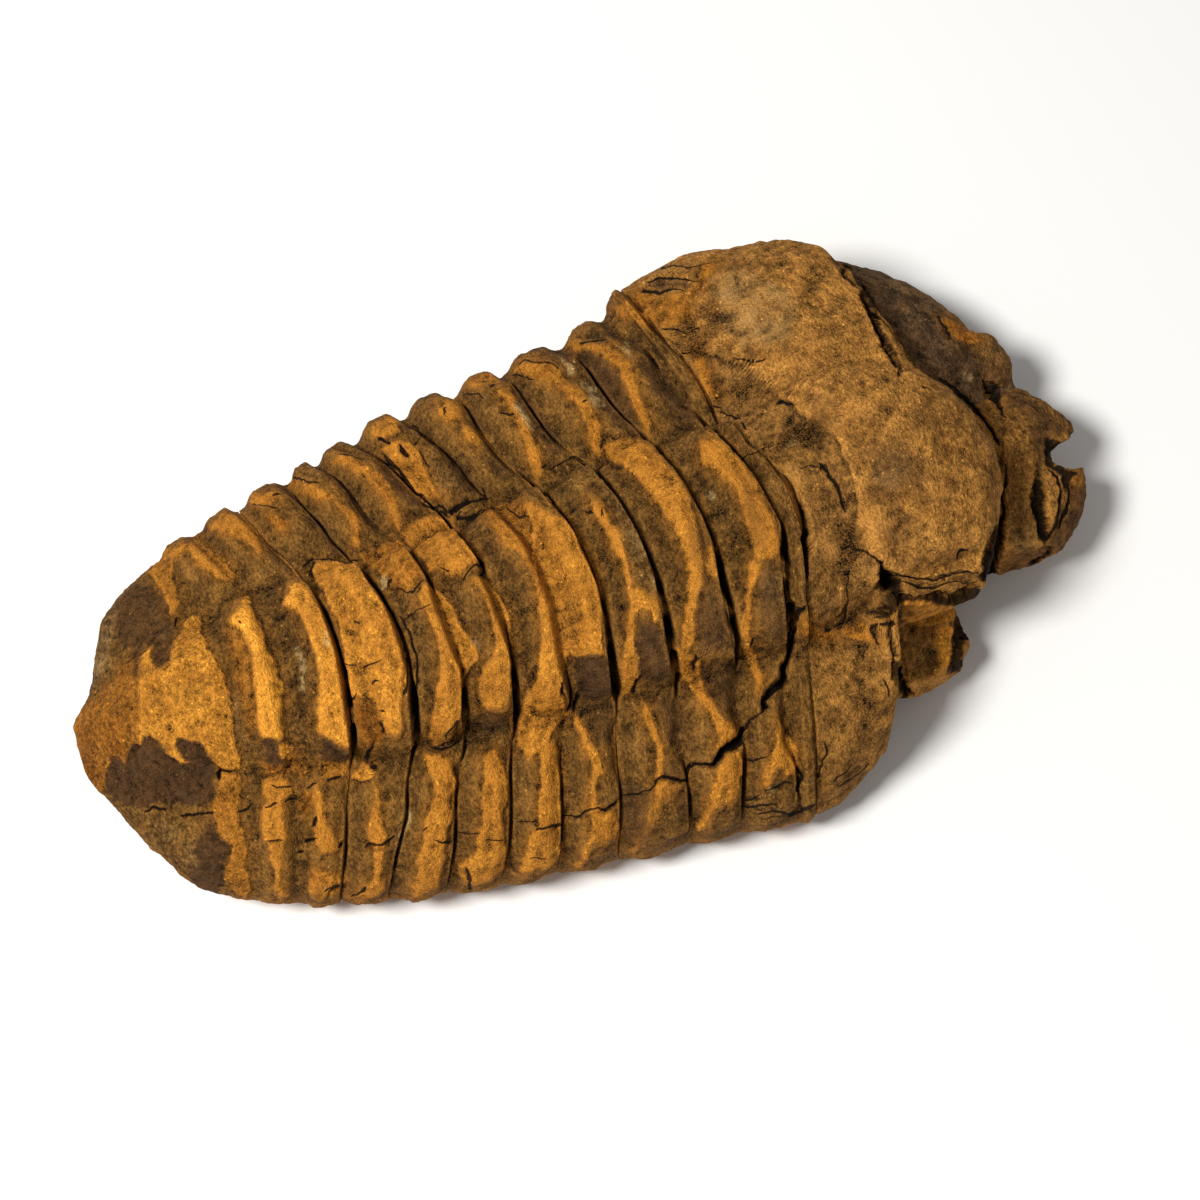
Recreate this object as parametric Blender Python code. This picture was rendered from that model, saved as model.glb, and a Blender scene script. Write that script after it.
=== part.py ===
"""Loose trilobite fossil: one stone, lying on the worn flat of its belly.

+X points to the head, +Y to the animal's left and +Z up. Every figure below is
in millimetres and is turned to metres by MM where the mesh is made.
"""
import math

import bmesh
import bpy
import numpy as np
from mathutils import Euler, Matrix, Vector, noise

MM = 0.001

NAME = "trilobite_fossil"

# How finely the skin is divided
TAIL_STATIONS = 12
HEAD_STATIONS = 22
BACK_STRIPS = 30
BELLY_STRIPS = 10
RING_PHASES = (0.0, 0.13, 0.36, 0.62, 0.84, 0.95)

# Share of the back that the axial lobe takes, between the two furrows
AXIS_SHARE = 0.44

# Fullness of the arches: 1 is a plain cosine, less is fuller at the shoulders
AXIS_FULLNESS = 0.75
RIB_FULLNESS = 0.8

# Tip of the tail and front of the head shield, as points
TAIL_TIP = (-38.9, 2.0, 5.5)
HEAD_TIP = (30.4, 0.5, 11.5)

# Gaps between the rings, tail to head. Each row is where one gap crosses the
# right edge, the right furrow, the crest, the left furrow and the left edge.
GAPS = (
    (-31.5, -29.8, -29.4, -29.8, -31.6),
    (-30.0, -28.0, -27.4, -27.8, -30.0),
    (-26.9, -24.6, -23.5, -23.9, -27.4),
    (-24.1, -20.3, -19.2, -20.1, -22.8),
    (-20.8, -16.1, -14.6, -16.2, -18.8),
    (-16.8, -12.2, -11.2, -12.6, -16.4),
    (-12.9, -8.3, -7.3, -8.9, -13.4),
    (-8.8, -4.7, -3.7, -5.4, -9.4),
    (-4.4, -1.3, -0.6, -2.0, -5.3),
    (0.8, 3.2, 3.5, 2.0, -1.4),
    (4.7, 7.6, 8.0, 6.7, 3.7),
    (8.9, 12.0, 12.5, 11.0, 8.4),
    (11.6, 13.6, 14.2, 12.4, 9.6),
)

# Plan outline: x and y of the stone's edge and of the two axial furrows
RIGHT_EDGE = (
    (-38.9, 2.0), (-38.7, 0.0), (-37.6, -3.0), (-35.5, -7.2), (-32.7, -10.8), (-28.1, -13.0),
    (-22.6, -14.7), (-14.8, -16.1), (-6.7, -17.1), (4.0, -17.9), (10.5, -18.6), (14.2, -17.5),
    (16.6, -16.0), (17.8, -14.4), (18.4, -12.6), (18.7, -10.0), (19.6, -8.8), (25.4, -8.8),
    (27.9, -6.4), (29.0, -4.4), (30.0, -1.6), (30.4, 0.5),
)
LEFT_EDGE = (
    (-38.9, 2.0), (-38.5, 3.8), (-37.1, 5.4), (-36.4, 6.8), (-35.9, 8.4), (-34.6, 11.0),
    (-31.6, 13.3), (-27.4, 14.9), (-18.8, 17.0), (-9.4, 19.5), (0.0, 20.6), (6.6, 21.8),
    (8.0, 22.7), (11.1, 23.6), (14.6, 23.9), (17.4, 23.4), (20.4, 23.0), (23.0, 21.6),
    (24.6, 19.2), (25.5, 15.0), (26.1, 11.0), (27.0, 8.4), (28.6, 6.6), (29.8, 3.8), (30.4, 0.5),
)
RIGHT_FURROW = (
    (-38.9, 2.0), (-37.0, -0.6), (-34.0, -3.0), (-28.0, -5.0), (-20.3, -6.5), (-16.0, -7.3),
    (-8.3, -7.4), (-1.3, -8.1), (12.1, -8.3), (16.5, -7.8), (20.0, -6.9), (26.0, -6.8),
    (28.6, -4.0), (30.4, 0.5),
)
LEFT_FURROW = (
    (-38.9, 2.0), (-37.0, 4.2), (-34.0, 5.2), (-27.8, 6.0), (-23.0, 7.1), (-16.2, 6.5),
    (-8.9, 6.8), (-2.0, 8.0), (6.7, 8.7), (13.0, 8.3), (18.0, 9.0), (23.0, 8.5), (26.4, 6.8),
    (28.6, 4.6), (30.4, 0.5),
)

# Heights: x and z along the crest, the furrows, the edges and the belly
CREST_Z = (
    (-38.9, 5.5), (-38.4, 7.2), (-37.0, 9.0), (-34.0, 10.8), (-29.0, 12.9), (-20.0, 14.8),
    (-10.0, 16.0), (2.0, 16.6), (14.0, 16.7), (16.8, 16.8), (19.2, 18.2), (22.6, 18.8),
    (26.0, 18.2), (28.5, 16.6), (29.8, 14.4), (30.4, 11.5),
)
RIGHT_FURROW_Z = (
    (-38.9, 5.5), (-37.0, 7.0), (-34.0, 8.4), (-29.0, 9.8), (-22.0, 10.8), (-8.0, 11.4),
    (12.0, 11.6), (16.0, 12.0), (19.0, 14.6), (26.0, 14.8), (28.6, 13.8), (30.4, 11.5),
)
LEFT_FURROW_Z = (
    (-38.9, 5.5), (-37.0, 7.2), (-34.0, 9.0), (-29.0, 10.3), (-22.0, 11.0), (-8.0, 11.6),
    (8.0, 12.0), (13.0, 13.4), (19.0, 15.8), (25.0, 15.6), (28.6, 14.0), (30.4, 11.5),
)
RIGHT_EDGE_Z = (
    (-38.9, 5.5), (-36.0, 4.6), (-30.0, 3.8), (-20.0, 3.4), (10.0, 3.4), (15.0, 4.0),
    (17.4, 6.0), (19.2, 9.4), (26.0, 10.0), (30.4, 11.5),
)
LEFT_EDGE_Z = (
    (-38.9, 5.5), (-36.0, 5.0), (-30.0, 4.6), (-8.0, 4.6), (5.0, 5.0), (9.5, 7.4), (20.0, 8.4),
    (25.0, 9.4), (27.0, 10.8), (30.4, 11.5),
)
BELLY_Z = (
    (-38.9, 5.5), (-38.2, 3.4), (-36.0, 2.2), (-32.0, 1.2), (-26.0, 0.4), (-19.0, -0.3),
    (13.0, -0.3), (18.0, 0.5), (24.0, 2.2), (28.0, 5.5), (30.4, 11.5),
)
# Below 1 the belly is full and boxy, above 1 it cuts in under the edge
BELLY_UNDERCUT = ((-38.9, 1.0), (-30.0, 0.7), (13.0, 0.6), (18.0, 1.1), (30.4, 1.2))

# Relief of the rings: x and height of the ridge above the gap behind it
AXIS_RELIEF = (
    (-38.9, 0.0), (-31.0, 0.1), (-28.0, 0.6), (-22.0, 0.9), (-14.0, 1.1), (10.0, 1.2),
    (13.5, 0.8), (16.5, 0.2), (20.0, 0.0), (30.4, 0.0),
)
RIB_RELIEF = (
    (-38.9, 0.0), (-32.0, 0.1), (-29.0, 0.5), (-20.0, 0.8), (-4.0, 1.0), (9.0, 0.9),
    (13.0, 0.3), (16.0, 0.0), (30.4, 0.0),
)
# Ring phase where the ridge starts to rise, is highest and breaks off
RIDGE_START = 0.10
RIDGE_TOP = 0.80
RIDGE_END = 0.95
# Share of the relief that is cut in below the plain back
RIDGE_SUNK = 0.35
# Share of a rib over which its ridge starts, and where its tip flares
RIB_FADE = 0.25
TIP_START = 0.8
TIP_FLARE = 0.1

# Rough stone of the belly
BELLY_ROUGHNESS = 0.55
BACK_ROUGHNESS = 0.22
ROUGH_SPACING = 5.0

# Lumps grown together with the skin: centre, radii, depth below the centre,
# turn about Z and tilt about the lump's own length in degrees, and corner
# shape (1 is round, below 1 is boxy, above 1 is pinched towards a diamond).
FAR_DOME = ((24.4, 9.2, 5.0), (10.9, 12.8, 7.0), 4.2, 0.0, 0.0, 1.25)
FRONT_BORDER = ((28.2, 0.8, 5.6), (9.7, 7.6, 5.0), 4.6, 0.0, 0.0, 1.0)
FRONT_BEAK = ((34.6, 4.7, 6.2), (3.8, 2.3, 1.8), 1.8, -30.0, 0.0, 1.2)
FAR_HOOK = ((31.8, 9.5, 6.6), (3.4, 2.9, 2.2), 2.6, 20.0, 0.0, 0.9)
BROKEN_CHUNK = ((21.4, -9.1, 4.9), (3.7, 2.8, 4.0), 3.8, 14.0, 0.0, 0.85)
RIB_FRAGMENT = ((-9.0, 13.4, 10.6), (4.6, 1.4, 1.8), 1.8, -57.0, 12.0, 0.8)
LUMPS = {
    "far_dome": FAR_DOME,
    "front_border": FRONT_BORDER,
    "front_beak": FRONT_BEAK,
    "far_hook": FAR_HOOK,
    "broken_chunk": BROKEN_CHUNK,
    "rib_fragment": RIB_FRAGMENT,
}
# The bite out of the front border, between its two lips
FRONT_NOTCH = ((37.8, 1.4, 6.5), (2.7, 1.0, 7.0), 7.0, 0.0, 0.0, 1.0)
LUMP_SEGMENTS = 16
LUMP_RINGS = 10
LUMP_ROUGHNESS = 0.3

STONE_COLOUR = (0.30, 0.17, 0.055, 1.0)
STONE_ROUGHNESS = 0.9


def smooth_curve(points, x):
    """Value at x of a smooth curve through the points, with no overshoot."""
    knots, values = np.array(points, dtype=float).T
    slopes = np.diff(values) / np.diff(knots)
    before, after = slopes[:-1], slopes[1:]
    same_way = before * after > 0
    inner = np.where(same_way, 2 * before * after / np.where(same_way, before + after, 1.0), 0.0)
    tangents = np.concatenate((slopes[:1], inner, slopes[-1:]))
    x = np.clip(x, knots[0], knots[-1])
    span = np.clip(np.searchsorted(knots, x, side="right") - 1, 0, len(knots) - 2)
    width = knots[span + 1] - knots[span]
    t = (x - knots[span]) / width
    rise = t * t * (3 - 2 * t)
    return (
        values[span] * (1 - rise)
        + values[span + 1] * rise
        + width * tangents[span] * t * (1 - t) ** 2
        - width * tangents[span + 1] * t * t * (1 - t)
    )


def smooth_step(low, high, value):
    """0 below low, 1 above high, and an even S between them."""
    t = np.clip((value - low) / (high - low), 0.0, 1.0)
    return t * t * (3 - 2 * t)


def station_lines():
    """Where each ring of vertices crosses the five lines, with its ring phase.

    Returns an array of stations by five, as in GAPS, and the phase of each
    station in its ring, from 0 in one gap to 1 in the next.
    """
    gaps = np.array(GAPS)
    lines, phases = [], []
    for step in np.linspace(0.0, 1.0, TAIL_STATIONS, endpoint=False):
        share = 1 - math.cos(step * math.pi / 2)
        lines.append(TAIL_TIP[0] + (gaps[0] - TAIL_TIP[0]) * share)
        phases.append(0.5)
    for here, ahead in zip(gaps[:-1], gaps[1:]):
        for phase in RING_PHASES:
            lines.append(here + (ahead - here) * phase)
            phases.append(phase)
    for step in np.linspace(0.0, 1.0, HEAD_STATIONS):
        share = math.sin(step * math.pi / 2)
        lines.append(gaps[-1] + (HEAD_TIP[0] - gaps[-1]) * share)
        phases.append(0.0 if step == 0.0 else 0.5)
    return np.array(lines), np.array(phases)


def back_section(lines, across):
    """Points of the back at the share `across`, -1 on the right edge to 1 on the left."""
    right_edge, right_furrow, crest, left_furrow, left_edge = lines.T
    on_left = across > 0
    furrow_x = left_furrow if on_left else right_furrow
    edge_x = left_edge if on_left else right_edge
    furrow_y = smooth_curve(LEFT_FURROW if on_left else RIGHT_FURROW, furrow_x)
    furrow_z = smooth_curve(LEFT_FURROW_Z if on_left else RIGHT_FURROW_Z, furrow_x)
    if abs(across) <= AXIS_SHARE:
        turn = abs(across) / AXIS_SHARE * math.pi / 2
        middle_y = (smooth_curve(LEFT_FURROW, crest) + smooth_curve(RIGHT_FURROW, crest)) / 2
        crest_z = smooth_curve(CREST_Z, crest)
        rise = math.cos(turn)
        x = furrow_x + (crest - furrow_x) * rise
        y = middle_y + (furrow_y - middle_y) * math.sin(turn)
        z = furrow_z + (crest_z - furrow_z) * max(rise, 0.0) ** AXIS_FULLNESS
        return np.stack((x, y, z), axis=-1)
    turn = (abs(across) - AXIS_SHARE) / (1 - AXIS_SHARE) * math.pi / 2
    edge_y = smooth_curve(LEFT_EDGE if on_left else RIGHT_EDGE, edge_x)
    edge_z = smooth_curve(LEFT_EDGE_Z if on_left else RIGHT_EDGE_Z, edge_x)
    out = math.sin(turn)
    x = furrow_x + (edge_x - furrow_x) * out
    y = furrow_y + (edge_y - furrow_y) * out
    z = edge_z + (furrow_z - edge_z) * max(math.cos(turn), 0.0) ** RIB_FULLNESS
    return np.stack((x, y, z), axis=-1)


def belly_section(lines, share):
    """Points of the belly at a share of the way from the left edge to the right."""
    right_edge, _, crest, _, left_edge = lines.T
    left = np.stack((left_edge, smooth_curve(LEFT_EDGE, left_edge)), axis=-1)
    right = np.stack((right_edge, smooth_curve(RIGHT_EDGE, right_edge)), axis=-1)
    lean = math.cos(share * math.pi)
    towards_left = (1 + lean) / 2
    x = crest + (np.where(lean > 0, left_edge, right_edge) - crest) * abs(lean)
    y = left[:, 1] * towards_left + right[:, 1] * (1 - towards_left)
    edge_z = (
        smooth_curve(LEFT_EDGE_Z, left_edge) * towards_left
        + smooth_curve(RIGHT_EDGE_Z, right_edge) * (1 - towards_left)
    )
    floor_z = smooth_curve(BELLY_Z, crest)
    depth = math.sin(share * math.pi) ** smooth_curve(BELLY_UNDERCUT, crest)
    return np.stack((x, y, edge_z + (floor_z - edge_z) * depth), axis=-1)


def ring_relief(lines, phases, across):
    """Height of the ring ridges over the plain back, at one strip of it."""
    crest = lines[:, 2]
    rise = smooth_step(RIDGE_START, RIDGE_TOP, phases)
    drop = 1 - smooth_step(RIDGE_END, 1.0, phases)
    ridge = rise * drop - RIDGE_SUNK
    if abs(across) < AXIS_SHARE:
        fade = math.sqrt(math.cos(across / AXIS_SHARE * math.pi / 2))
        return smooth_curve(AXIS_RELIEF, crest) * ridge * fade
    out = (abs(across) - AXIS_SHARE) / (1 - AXIS_SHARE)
    fade = smooth_step(0.0, RIB_FADE, out) + TIP_FLARE * smooth_step(TIP_START, 1.0, out)
    return smooth_curve(RIB_RELIEF, crest) * ridge * fade


def outward(section):
    """Unit vectors square to the section, in the plane across the animal."""
    along = np.roll(section, -1, axis=1) - np.roll(section, 1, axis=1)
    normal = np.stack((np.zeros_like(along[..., 0]), -along[..., 2], along[..., 1]), axis=-1)
    length = np.linalg.norm(normal, axis=-1, keepdims=True)
    return normal / np.maximum(length, 1e-9)


def roughness(point, amount):
    """Slow unevenness of weathered stone, as a distance."""
    return amount * noise.noise(Vector(point) / ROUGH_SPACING)


def skin_points():
    """Every point of the skin, as stations by strips by xyz."""
    lines, phases = station_lines()
    backs = np.linspace(-1.0, 1.0, BACK_STRIPS, endpoint=False)
    bellies = np.linspace(0.0, 1.0, BELLY_STRIPS, endpoint=False)
    columns = [back_section(lines, across) for across in backs]
    columns += [belly_section(lines, share) for share in bellies]
    points = np.stack(columns, axis=1)
    lift = [ring_relief(lines, phases, across) for across in backs]
    lift += [ring_relief(lines, phases, 1.0) * (1 - math.sin(share * math.pi)) ** 2 for share in bellies]
    lift = np.stack(lift, axis=1)
    for strip in range(points.shape[1]):
        amount = BACK_ROUGHNESS if strip <= BACK_STRIPS else BELLY_ROUGHNESS
        for station in range(points.shape[0]):
            lift[station, strip] += roughness(points[station, strip], amount)
    points += outward(points) * lift[..., None]
    points[..., 2] = np.maximum(points[..., 2], 0.0)
    points[0] = TAIL_TIP
    points[-1] = HEAD_TIP
    return points


def skin_mesh():
    """A sphere whose rings and meridians are drawn out into the fossil's skin."""
    points = skin_points()
    stations, strips = points.shape[:2]
    mesh = bmesh.new()
    bmesh.ops.create_uvsphere(mesh, u_segments=strips, v_segments=stations - 1, radius=1.0)
    for vertex in mesh.verts:
        x, y, z = vertex.co
        station = round(math.acos(max(-1.0, min(1.0, z))) / math.pi * (stations - 1))
        strip = round(math.atan2(y, x) / (2 * math.pi) * strips) % strips
        vertex.co = Vector(points[station, strip]) * MM
    bmesh.ops.recalc_face_normals(mesh, faces=mesh.faces)
    data = bpy.data.meshes.new(NAME)
    mesh.to_mesh(data)
    mesh.free()
    data.shade_smooth()
    return data


def lump_mesh(name, radii, depth, corner):
    """A rounded lump about the origin, from a sphere that reaches `depth` down."""
    mesh = bmesh.new()
    bmesh.ops.create_uvsphere(mesh, u_segments=LUMP_SEGMENTS, v_segments=LUMP_RINGS, radius=1.0)
    for vertex in mesh.verts:
        pushed = Vector([math.copysign(abs(value) ** corner, value) for value in vertex.co])
        place = Vector([value * radius for value, radius in zip(pushed, radii)])
        if pushed.z < 0:
            place.z = pushed.z * depth
        place += vertex.co * noise.noise(place / ROUGH_SPACING + Vector(radii)) * LUMP_ROUGHNESS
        vertex.co = place * MM
    data = bpy.data.meshes.new(name)
    mesh.to_mesh(data)
    mesh.free()
    return data


def lump_object(name, lump, collection, parent):
    """Place one lump, as a guide that the skin is joined to or cut by."""
    centre, radii, depth, turn, tilt, corner = lump
    body = bpy.data.objects.new(name, lump_mesh(name, radii, depth, corner))
    body.parent = parent
    body.location = Vector(centre) * MM
    body.rotation_euler = Euler((math.radians(tilt), 0.0, math.radians(turn)), "XYZ")
    body.hide_render = True
    body.display_type = "WIRE"
    collection.objects.link(body)
    return body


def add_boolean(target, other, operation):
    """Join another body to the target, or cut it away."""
    modifier = target.modifiers.new(other.name, "BOOLEAN")
    modifier.operation = operation
    modifier.solver = "EXACT"
    modifier.object = other


def stone_material():
    """Iron-stained sandy stone."""
    material = bpy.data.materials.new("ochre_stone")
    material.use_nodes = True
    shader = material.node_tree.nodes["Principled BSDF"]
    shader.inputs["Base Color"].default_value = STONE_COLOUR
    shader.inputs["Roughness"].default_value = STONE_ROUGHNESS
    shader.inputs["Metallic"].default_value = 0.0
    return material


def box_of(body):
    """Lowest and highest corner of a body with its modifiers, in world space."""
    graph = bpy.context.evaluated_depsgraph_get()
    evaluated = body.evaluated_get(graph)
    data = evaluated.to_mesh()
    corners = np.array([evaluated.matrix_world @ vertex.co for vertex in data.vertices])
    evaluated.to_mesh_clear()
    return corners.min(axis=0), corners.max(axis=0)


def main():
    """Build the fossil with its box centred over the origin and its flat on Z = 0."""
    for old in list(bpy.data.objects):
        bpy.data.objects.remove(old, do_unlink=True)
    parts = bpy.data.collections.new(NAME)
    guides = bpy.data.collections.new("lumps_and_cutters")
    bpy.context.scene.collection.children.link(parts)
    bpy.context.scene.collection.children.link(guides)

    root = bpy.data.objects.new("frame", None)
    parts.objects.link(root)
    fossil = bpy.data.objects.new(NAME, skin_mesh())
    fossil.parent = root
    fossil.data.materials.append(stone_material())
    parts.objects.link(fossil)
    for name, lump in LUMPS.items():
        add_boolean(fossil, lump_object(name, lump, guides, root), "UNION")
    add_boolean(fossil, lump_object("front_notch", FRONT_NOTCH, guides, root), "DIFFERENCE")

    bpy.context.view_layer.update()
    low, high = box_of(fossil)
    root.matrix_world = Matrix.Translation(
        (-(low[0] + high[0]) / 2, -(low[1] + high[1]) / 2, -low[2])
    )
    bpy.context.view_layer.update()


main()
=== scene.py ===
"""Looks of the trilobite fossil: weathered skin, crusts, cracks and broken head stone.

The animal is laid out in a body frame in millimetres, +X to the head, +Y to its
left and +Z up. BODY_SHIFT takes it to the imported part's frame. What shows only
in the photograph, such as a crack's route, is drawn in picture pixels and cast
onto the skin by PhotoCamera, so it lies on the stone from every side.
"""
import logging
import math
from collections.abc import Callable
from dataclasses import dataclass, field
from enum import Enum
from functools import partial

import bmesh
import bpy
import numpy as np
from mathutils import Matrix, Vector, noise


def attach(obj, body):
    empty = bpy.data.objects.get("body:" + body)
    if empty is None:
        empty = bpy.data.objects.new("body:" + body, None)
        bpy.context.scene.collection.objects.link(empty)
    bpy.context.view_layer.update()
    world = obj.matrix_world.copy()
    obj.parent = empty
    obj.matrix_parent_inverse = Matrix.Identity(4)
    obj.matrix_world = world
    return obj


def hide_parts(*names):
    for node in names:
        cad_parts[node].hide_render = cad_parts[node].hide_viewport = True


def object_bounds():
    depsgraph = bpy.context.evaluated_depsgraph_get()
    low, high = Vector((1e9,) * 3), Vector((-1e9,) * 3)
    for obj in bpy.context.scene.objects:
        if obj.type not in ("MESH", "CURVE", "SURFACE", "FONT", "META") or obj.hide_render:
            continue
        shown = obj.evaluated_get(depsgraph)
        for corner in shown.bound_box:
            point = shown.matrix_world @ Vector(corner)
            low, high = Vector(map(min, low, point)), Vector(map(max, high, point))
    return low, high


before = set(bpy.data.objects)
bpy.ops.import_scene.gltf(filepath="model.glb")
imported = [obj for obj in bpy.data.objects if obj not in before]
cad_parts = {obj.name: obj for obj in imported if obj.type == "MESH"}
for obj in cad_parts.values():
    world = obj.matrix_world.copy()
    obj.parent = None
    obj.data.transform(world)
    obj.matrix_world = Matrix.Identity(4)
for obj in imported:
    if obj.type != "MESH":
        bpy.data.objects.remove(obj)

PART_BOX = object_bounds()
MM = 0.001
NODE = "trilobite_fossil"

# How far the part moves its body frame to centre its box over the origin, in mm
BODY_SHIFT = np.array((0.498, -2.501, 0.0))

Array = np.ndarray
Numbers = tuple[float, ...]
Span = tuple[float, float]

logging.basicConfig(level=logging.INFO, format="%(message)s")
log = logging.getLogger("trilobite")


def smooth_curve(points: Numbers, x: Array) -> Array:
    """Read a smooth curve through the points, with no overshoot.

    Args:
        points: each knot and its value in turn, in rising order of the knots.
        x: where the curve is read.

    Returns:
        The curve's value at each x.
    """
    knots, values = np.array(points, dtype=float).reshape(-1, 2).T
    slopes = np.diff(values) / np.diff(knots)
    before, after = slopes[:-1], slopes[1:]
    same_way = before * after > 0
    inner = np.where(same_way, 2 * before * after / np.where(same_way, before + after, 1.0), 0.0)
    tangents = np.concatenate((slopes[:1], inner, slopes[-1:]))
    x = np.clip(x, knots[0], knots[-1])
    span = np.clip(np.searchsorted(knots, x, side="right") - 1, 0, len(knots) - 2)
    width = knots[span + 1] - knots[span]
    t = (x - knots[span]) / width
    rise = t * t * (3 - 2 * t)
    return (
        values[span] * (1 - rise)
        + values[span + 1] * rise
        + width * tangents[span] * t * (1 - t) ** 2
        - width * tangents[span + 1] * t * t * (1 - t)
    )


def smooth_step(low: float | Array, high: float, value: Array) -> Array:
    """Rise from 0 below low to 1 above high on an even S.

    Args:
        low: where the rise starts.
        high: where the rise ends.
        value: where it is read.

    Returns:
        A share between 0 and 1 for each value.
    """
    t = np.clip((value - low) / (high - low), 0.0, 1.0)
    return t * t * (3 - 2 * t)


def unevenness(points: Array, spacing: float, seed: float = 0.0) -> Array:
    """Slow random unevenness of stone.

    Args:
        points: places in mm, with xyz last.
        spacing: distance between bumps, in mm.
        seed: moves the pattern, so that two of them differ.

    Returns:
        A value of about -0.5 to 0.5 for each point.
    """
    flat = points.reshape(-1, 3) / spacing + seed
    values = [noise.noise(place) for place in flat.tolist()]
    return np.array(values).reshape(points.shape[:-1])


@dataclass(frozen=True)
class PhotoCamera:
    """The camera that took the photograph, as read from the fossil's own shape.

    Attributes:
        turn_deg: how far it stands round from the animal's right side.
        lift_deg: how steeply it looks down.
        distance_mm: how far it is from what it looks at.
        lens_mm: its focal length.
        sensor_mm: how wide its film is.
        picture_px: how wide and high the picture is.
        target_mm: the point it looks at, in the body frame.
        nearest_m: the nearest that it shows.
    """

    turn_deg: float = -18.0
    lift_deg: float = 70.0
    distance_mm: float = 250.0
    lens_mm: float = 104.0
    sensor_mm: float = 36.0
    picture_px: float = 1200.0
    target_mm: tuple[float, float, float] = (0.0, 0.0, 9.0)
    nearest_m: float = 0.01

    def axes(self) -> tuple[Array, Array, Array]:
        """Work out which way the camera is turned.

        Returns:
            Unit vectors to the picture's right, to its top and back to the camera.
        """
        turn, lift = math.radians(self.turn_deg), math.radians(self.lift_deg)
        flat = math.cos(lift)
        right = np.array((math.cos(turn), math.sin(turn), 0.0))
        back = np.array((math.sin(turn) * flat, -math.cos(turn) * flat, math.sin(lift)))
        return right, np.cross(back, right), back

    def place(self) -> Array:
        """Where the camera stands, in the body frame in mm."""
        return np.array(self.target_mm) + self.axes()[2] * self.distance_mm

    def picture(self, points: Array) -> Array:
        """Project points into the photograph.

        Args:
            points: places in the body frame in mm, with xyz last.

        Returns:
            Their picture coordinates in pixels, with xy last.
        """
        right, top, back = self.axes()
        seen = points - self.place()
        depth = -(seen @ back)
        scale = self.picture_px * self.lens_mm / self.sensor_mm / depth
        middle = self.picture_px / 2
        return np.stack((middle + seen @ right * scale, middle - seen @ top * scale), axis=-1)

    def facing(self, points: Array, normals: Array) -> Array:
        """How squarely a surface faces the camera.

        Args:
            points: places on it in mm, with xyz last.
            normals: its unit normals there.

        Returns:
            The cosine between each normal and the line to the camera.
        """
        sight = self.place() - points
        sight /= np.linalg.norm(sight, axis=-1, keepdims=True)
        return np.sum(sight * normals, axis=-1)

    def add_to_scene(self) -> None:
        """Make the Blender camera and have the scene use it."""
        right, top, back = self.axes()
        data = bpy.data.cameras.new("photo_camera")
        data.lens = self.lens_mm
        data.sensor_width = self.sensor_mm
        data.clip_start = self.nearest_m
        camera = bpy.data.objects.new("photo_camera", data)
        stand = Matrix(np.stack((right, top, back), axis=1)).to_4x4()
        stand.translation = Vector((self.place() + BODY_SHIFT) * MM)
        camera.matrix_world = stand
        bpy.context.scene.collection.objects.link(camera)
        bpy.context.scene.camera = camera


CAMERA = PhotoCamera()
PX_PER_MM = 13.9


@dataclass(frozen=True)
class Stroke:
    """A line drawn over the picture, such as a crack, with its width at each point.

    Attributes:
        route: x, y and width of each point in turn, in pixels.
        depth_mm: how deep it is cut.
    """

    route: Numbers
    depth_mm: float = 0.3

    def measure(self, spots: Array) -> tuple[Array, Array, Array]:
        """Find how far each spot lies from the line.

        Args:
            spots: picture coordinates in pixels, as rows of xy.

        Returns:
            The signed distance beside the line, the line's half width there and
            the distance past either of its ends, all in pixels.
        """
        points = np.array(self.route, dtype=float).reshape(-1, 3)
        best = np.full(len(spots), FAR_AWAY_PX)
        half = np.zeros(len(spots))
        past = np.full(len(spots), FAR_AWAY_PX)
        last = len(points) - 2
        for number, (start, end) in enumerate(zip(points[:-1], points[1:])):
            along = end[:2] - start[:2]
            length = math.hypot(*along)
            offset = spots - start[:2]
            reach = offset @ along / length
            share = np.clip(reach / length, 0.0, 1.0)
            gap = offset - share[:, None] * along
            distance = np.hypot(gap[:, 0], gap[:, 1])
            side = np.where(along[0] * offset[:, 1] - along[1] * offset[:, 0] < 0, -1.0, 1.0)
            before, after = -reach if number == 0 else 0.0, reach - length if number == last else 0.0
            nearer = distance < np.abs(best)
            best = np.where(nearer, distance * side, best)
            half = np.where(nearer, (start[2] + (end[2] - start[2]) * share) / 2, half)
            past = np.where(nearer, np.maximum(np.maximum(before, after), 0.0), past)
        return best, half, past

    def box(self) -> tuple[Array, Array]:
        """Find the part of the picture that the line can reach.

        Returns:
            The low and the high corner of its box, in pixels.
        """
        points = np.array(self.route, dtype=float).reshape(-1, 3)
        reach = points[:, 2].max() / 2 + LINE_REACH_PX
        return points[:, :2].min(axis=0) - reach, points[:, :2].max(axis=0) + reach


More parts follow.
